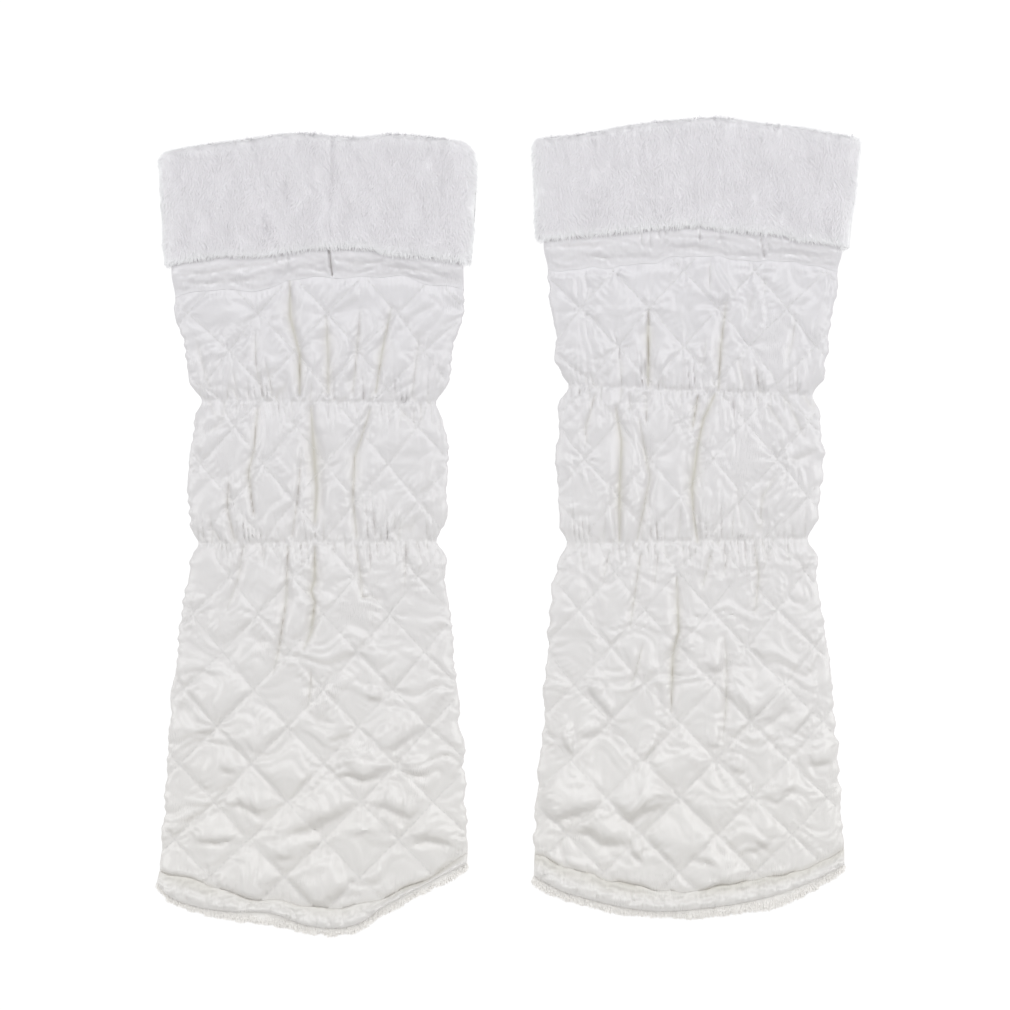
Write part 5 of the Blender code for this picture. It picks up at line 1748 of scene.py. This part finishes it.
@dataclass
class Hem(Panel):
    """Half of the padded hem band and of the plush lining that peeps out below it."""

    lining_wall: float = 1.95
    roll: float = 3.5
    rows: int = 15
    back_rows: int = 6
    lining_rows: int = 11
    trim: float = 1.1
    profile: Curve = Curve(((0.0, 0.12), (0.16, 0.40), (0.36, 0.56), (0.52, 0.80), (0.72, 0.96), (0.88, 0.74),
                            (1.0, 0.08)))
    coat: Coat = Coat(3.2, 2.6, 0.5, 0.35, 0.5)

    def strip(self, edge: Curve, share: Grid, along: Grid) -> tuple[Grid, Grid]:
        """X and y between the hem seam and an edge below it.

        Args:
            edge: The lower edge.
            share: Shares across.
            along: Shares from the seam down to the edge.

        Returns:
            The x and the y of each place.
        """
        plan = self.plan
        y_high = plan.seam_y(plan.hem_seam, share) + SEAM_GAP / 2 - 0.05
        x_high = plan.tube_x(share, y_high)
        x_low = mix(edge.knots[0][0], edge.knots[-1][0], (share + 1) / 2)
        return mix(x_high, x_low, along), mix(y_high, edge(x_low), along)

    def grids(self, rows: int) -> tuple[Grid, Grid, Grid]:
        """Rows that run up the strip, so that the wall faces outwards.

        Args:
            rows: How many.

        Returns:
            Shares across, shares down the strip and the sides' rounding.
        """
        share = QuiltedShell(self.plan, self.face).columns()
        along = 1 - np.broadcast_to(np.linspace(0, 1, rows)[:, None], (rows, len(share)))
        across = np.broadcast_to(share, along.shape)
        level = np.full(along.shape, self.plan.hem_seam.knots[0][1])
        return across, along, round_off(self.plan.side_distance(across, level), EDGE_ROUND / 2)

    def walls(self, x: Grid, y: Grid, level: Grid, low: float) -> tuple[Grid, Grid]:
        """Both surfaces of a strip.

        Args:
            x: Places across.
            y: Places along.
            level: How far the outer surface is from the tube's middle.
            low: How far the inner one is from it.

        Returns:
            The outer and the inner points.
        """
        return tuple(np.stack([x, y, SHELL_MIDDLE + self.face.up * away], -1)
                     for away in (level, np.full(x.shape, low)))

    def puckers(self, x: Grid, y: Grid, along: Grid) -> Grid:
        """The padded band's folds and puckers.

        Args:
            x: Places across.
            y: Places along.
            along: Shares down the strip.

        Returns:
            Heights to add.
        """
        seed = self.plan.seed
        folds = cusps(pi * (x + 0.4 * y) / 11 + 1.6 * ripple(x, 31, seed + 51), 0.4) - 0.8
        small = cusps(pi * (x - 0.3 * y) / 4.2 + 1.4 * swell(x, y, 15, seed + 52), 0.7) - 0.65
        pucker = 1.5 * folds * bell(along - 0.7, 0.4) + 0.9 * small * bell(along - 0.25, 0.3)
        pucker = pucker + 0.8 * np.abs(swell(0.5 * x, y, 8, seed + 53)) - 0.5
        pucker = pucker + 0.5 * np.abs(swell(x, 0.7 * y, 4.5, seed + 55)) - 0.3
        pucker = pucker - 0.6 * bell(along - 0.22 - 0.04 * ripple(x, 22, seed + 54), 0.07)
        return pucker * ease(along / 0.1) * ease((1 - along) / 0.1)

    def band(self) -> bpy.types.Object:
        """The padded satin band.

        Returns:
            Its wall.
        """
        across, along, rounding = self.grids(self.rows if self.face is Face.FRONT else self.back_rows)
        x, y = self.strip(self.plan.hem_edge, across, along)
        low = SEAM_GAP / 2 + self.lining_wall + SEAM_GAP
        if self.face is Face.FRONT:
            padded = low + self.roll + self.puckers(x, y, along)
            level = mix(low + 0.4, padded, rounding * self.profile(along))
            # Painted shade on the roll's upper side, which faces the top light, creamier where the hem's
            # shade is strong.
            shade = (0.22 + 0.3 * self.plan.hem_shade(x)) * ease((0.62 - along) / 0.5)
        else:
            level, shade = mix(low + 1.0, SHELL_MIDDLE, rounding), np.zeros(x.shape)
        piece = sew_wall(self.named("hem_satin"), *self.walls(x, y, level, low), self.face, QUILTED_SATIN,
                         {"crease": outside(shade)})
        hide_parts(self.named("hem"))
        self.named("lining")
        settle([piece], Slot.QUILTED)
        return piece

    def lining(self, nap: Repeater) -> list[bpy.types.Object]:
        """The plush lining and the hairs along its edge.

        Args:
            nap: The hairs' tree.

        Returns:
            Both pieces.
        """
        seed = self.plan.seed
        across, along, rounding = self.grids(self.lining_rows)
        x, y = self.strip(self.plan.lining_edge, across, along)
        y = y + (self.trim + 0.35 * ripple(x, 9, seed + 62)) * along
        low = SEAM_GAP / 2
        level = low + (self.lining_wall - 0.1) * mix(0.55, 1.0, rounding * round_off(1.02 - along, 0.16))
        rim = ease((along.ravel() - 0.72) / 0.12)
        sway = 0.4 * swell(x.ravel(), y.ravel(), 7, seed + 61)
        way = np.stack([sway, -np.ones(x.size), 0 * sway], -1)
        # Painted light: the whole lining is marked pale, lifting the shade that the hem band casts on it.
        marks = {"pale": np.ones(2 * x.size), "nap": np.concatenate([way, way]),
                 "furred": np.concatenate([rim, rim * (along.ravel() > 0.999)])}
        piece = sew_wall(self.named("lining_plush"), *self.walls(x, y, level, low), self.face, LINING_PLUSH,
                         marks)
        hairs = self.coat.grow(nap, piece, self.named("lining_nap"), self.face, seed + 5)
        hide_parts(self.named("lining"))
        settle([piece, hairs], Slot.LINING)
        return [piece, hairs]

    def make(self, nap: Repeater) -> list[bpy.types.Object]:
        """Build the band and the lining."""
        return [self.band(), *self.lining(nap)]


@dataclass
class LegWarmer:
    """One leg warmer of the pair."""

    plan: LegPlan

    def make(self, stitches: Repeater, cuff_nap: Repeater,
             lining_nap: Repeater) -> Iterable[bpy.types.Object]:
        """Build every piece, in the order of the solids.

        Args:
            stitches: The stitches' tree.
            cuff_nap: The tree of the cuffs' hairs.
            lining_nap: The tree of the linings' hairs.

        Yields:
            Each finished piece.
        """
        for face in Face:
            yield from QuiltedShell(self.plan, face).make(stitches)
            yield from SatinBand(self.plan, face).make()
            yield from PlushCuff(self.plan, face).make(cuff_nap)
            yield from Hem(self.plan, face).make(lining_nap)


# ---------------------------------------------------------------- studio
@dataclass(frozen=True)
class Softbox:
    """A soft area light."""

    name: str
    place: tuple[float, float, float]
    size: Pair
    power: float
    tone: Colour = (1.0, 1.0, 1.0)

    def hang(self) -> None:
        """Add the light, turned to the pair."""
        data = bpy.data.lights.new(self.name, "AREA")
        data.shape = "RECTANGLE"
        data.size, data.size_y = self.size
        data.energy = self.power
        data.color = self.tone
        light = place_object(self.name, data)
        light.location = self.place
        way = Vector(np.zeros(3) - np.array(self.place))
        light.rotation_euler = way.to_track_quat("-Z", "Y").to_euler()


@dataclass(frozen=True)
class Studio:
    """Pale floor, soft light and the camera straight above."""

    lens: float = 100.0
    sensor: float = 36.0
    focus_height: float = 9.0
    centre_pixel: Pair = (509.1, 526.2)
    far_end: float = 20.0
    floor_half: float = 4.0
    floor_drop: float = 0.0004
    sky: Colour = (0.98, 0.99, 1.0)
    sky_strength: float = 0.550
    lights: tuple[Softbox, ...] = (
        Softbox("top_box", (0.12, 0.95, 1.4), (1.9, 0.9), 8.9, (0.975, 0.985, 1.0)),
        Softbox("left_box", (-1.25, 0.2, 1.05), (0.6, 1.4), 5.0),
        Softbox("right_box", (1.25, 0.2, 1.05), (0.6, 1.4), 6.0),
        Softbox("foot_box", (0.0, -1.4, 1.0), (1.6, 0.5), 1.6, (1.0, 0.94, 0.87)),
    )

    def camera(self) -> None:
        """Set the camera so that a photo pixel is as wide as in the plan."""
        data = bpy.data.cameras.new("camera")
        data.lens, data.sensor_width = self.lens, self.sensor
        data.clip_end = self.far_end
        frame_width = PHOTO_PIXELS * MM_PER_PIXEL
        half = PHOTO_PIXELS / 2
        x = (half - self.centre_pixel[0]) * MM_PER_PIXEL
        y = (self.centre_pixel[1] - half) * MM_PER_PIXEL
        camera = place_object("camera", data)
        height = frame_width * self.lens / self.sensor + self.focus_height
        camera.location = (x * MM, y * MM, height * MM)
        bpy.context.scene.camera = camera

    def floor(self) -> None:
        """Lay a pale floor just under the pair."""
        mesh = bpy.data.meshes.new("floor")
        corners = ((-1, -1), (1, -1), (1, 1), (-1, 1))
        mesh.from_pydata([(x * self.floor_half, y * self.floor_half, -self.floor_drop) for x, y in corners],
                         [], [(0, 1, 2, 3)])
        material, bench = start_material("floor")
        grain = bench.noise(bench.add("ShaderNodeTexCoord", out="Object"), 60.0, 2.0)
        bench.finish({
            "Base Color": bench.blend(grain * 0.05, (0.05, 0.05, 0.05), (0.04, 0.04, 0.04)), "Roughness": 0.9,
            "Emission Color": (1.0, 1.0, 1.0, 1.0), "Emission Strength": 1.0, "Specular IOR Level": 0.1})
        mesh.materials.append(material)
        place_object("floor", mesh)

    def build(self) -> None:
        """Add everything."""
        self.camera()
        self.floor()
        for light in self.lights:
            light.hang()
        world = bpy.data.worlds.new("studio")
        world.use_nodes = True
        background = world.node_tree.nodes["Background"]
        background.inputs["Color"].default_value = (*self.sky, 1.0)
        background.inputs["Strength"].default_value = self.sky_strength
        bpy.context.scene.world = world
        view = bpy.context.scene.view_settings
        view.view_transform, view.look = "Standard", "None"


def main() -> None:
    """Build the studio and the pair."""
    logging.basicConfig(level=logging.INFO, format="%(name)s: %(message)s")
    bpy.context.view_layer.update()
    Studio().build()
    stitches, cuff_nap, lining_nap = stitch_tree(QUILT_THREAD), nap_tree(CUFF_PLUSH), nap_tree(LINING_PLUSH)
    total = 0
    for plan in (LEFT, RIGHT):
        for piece in LegWarmer(plan).make(stitches, cuff_nap, lining_nap):
            triangles = sum(len(face.vertices) - 2 for face in piece.data.polygons)
            total += triangles
            LOG.info("%s: %d triangles", piece.name, triangles)
    LOG.info("all: %d triangles", total)


if __name__ == "__main__":
    main()
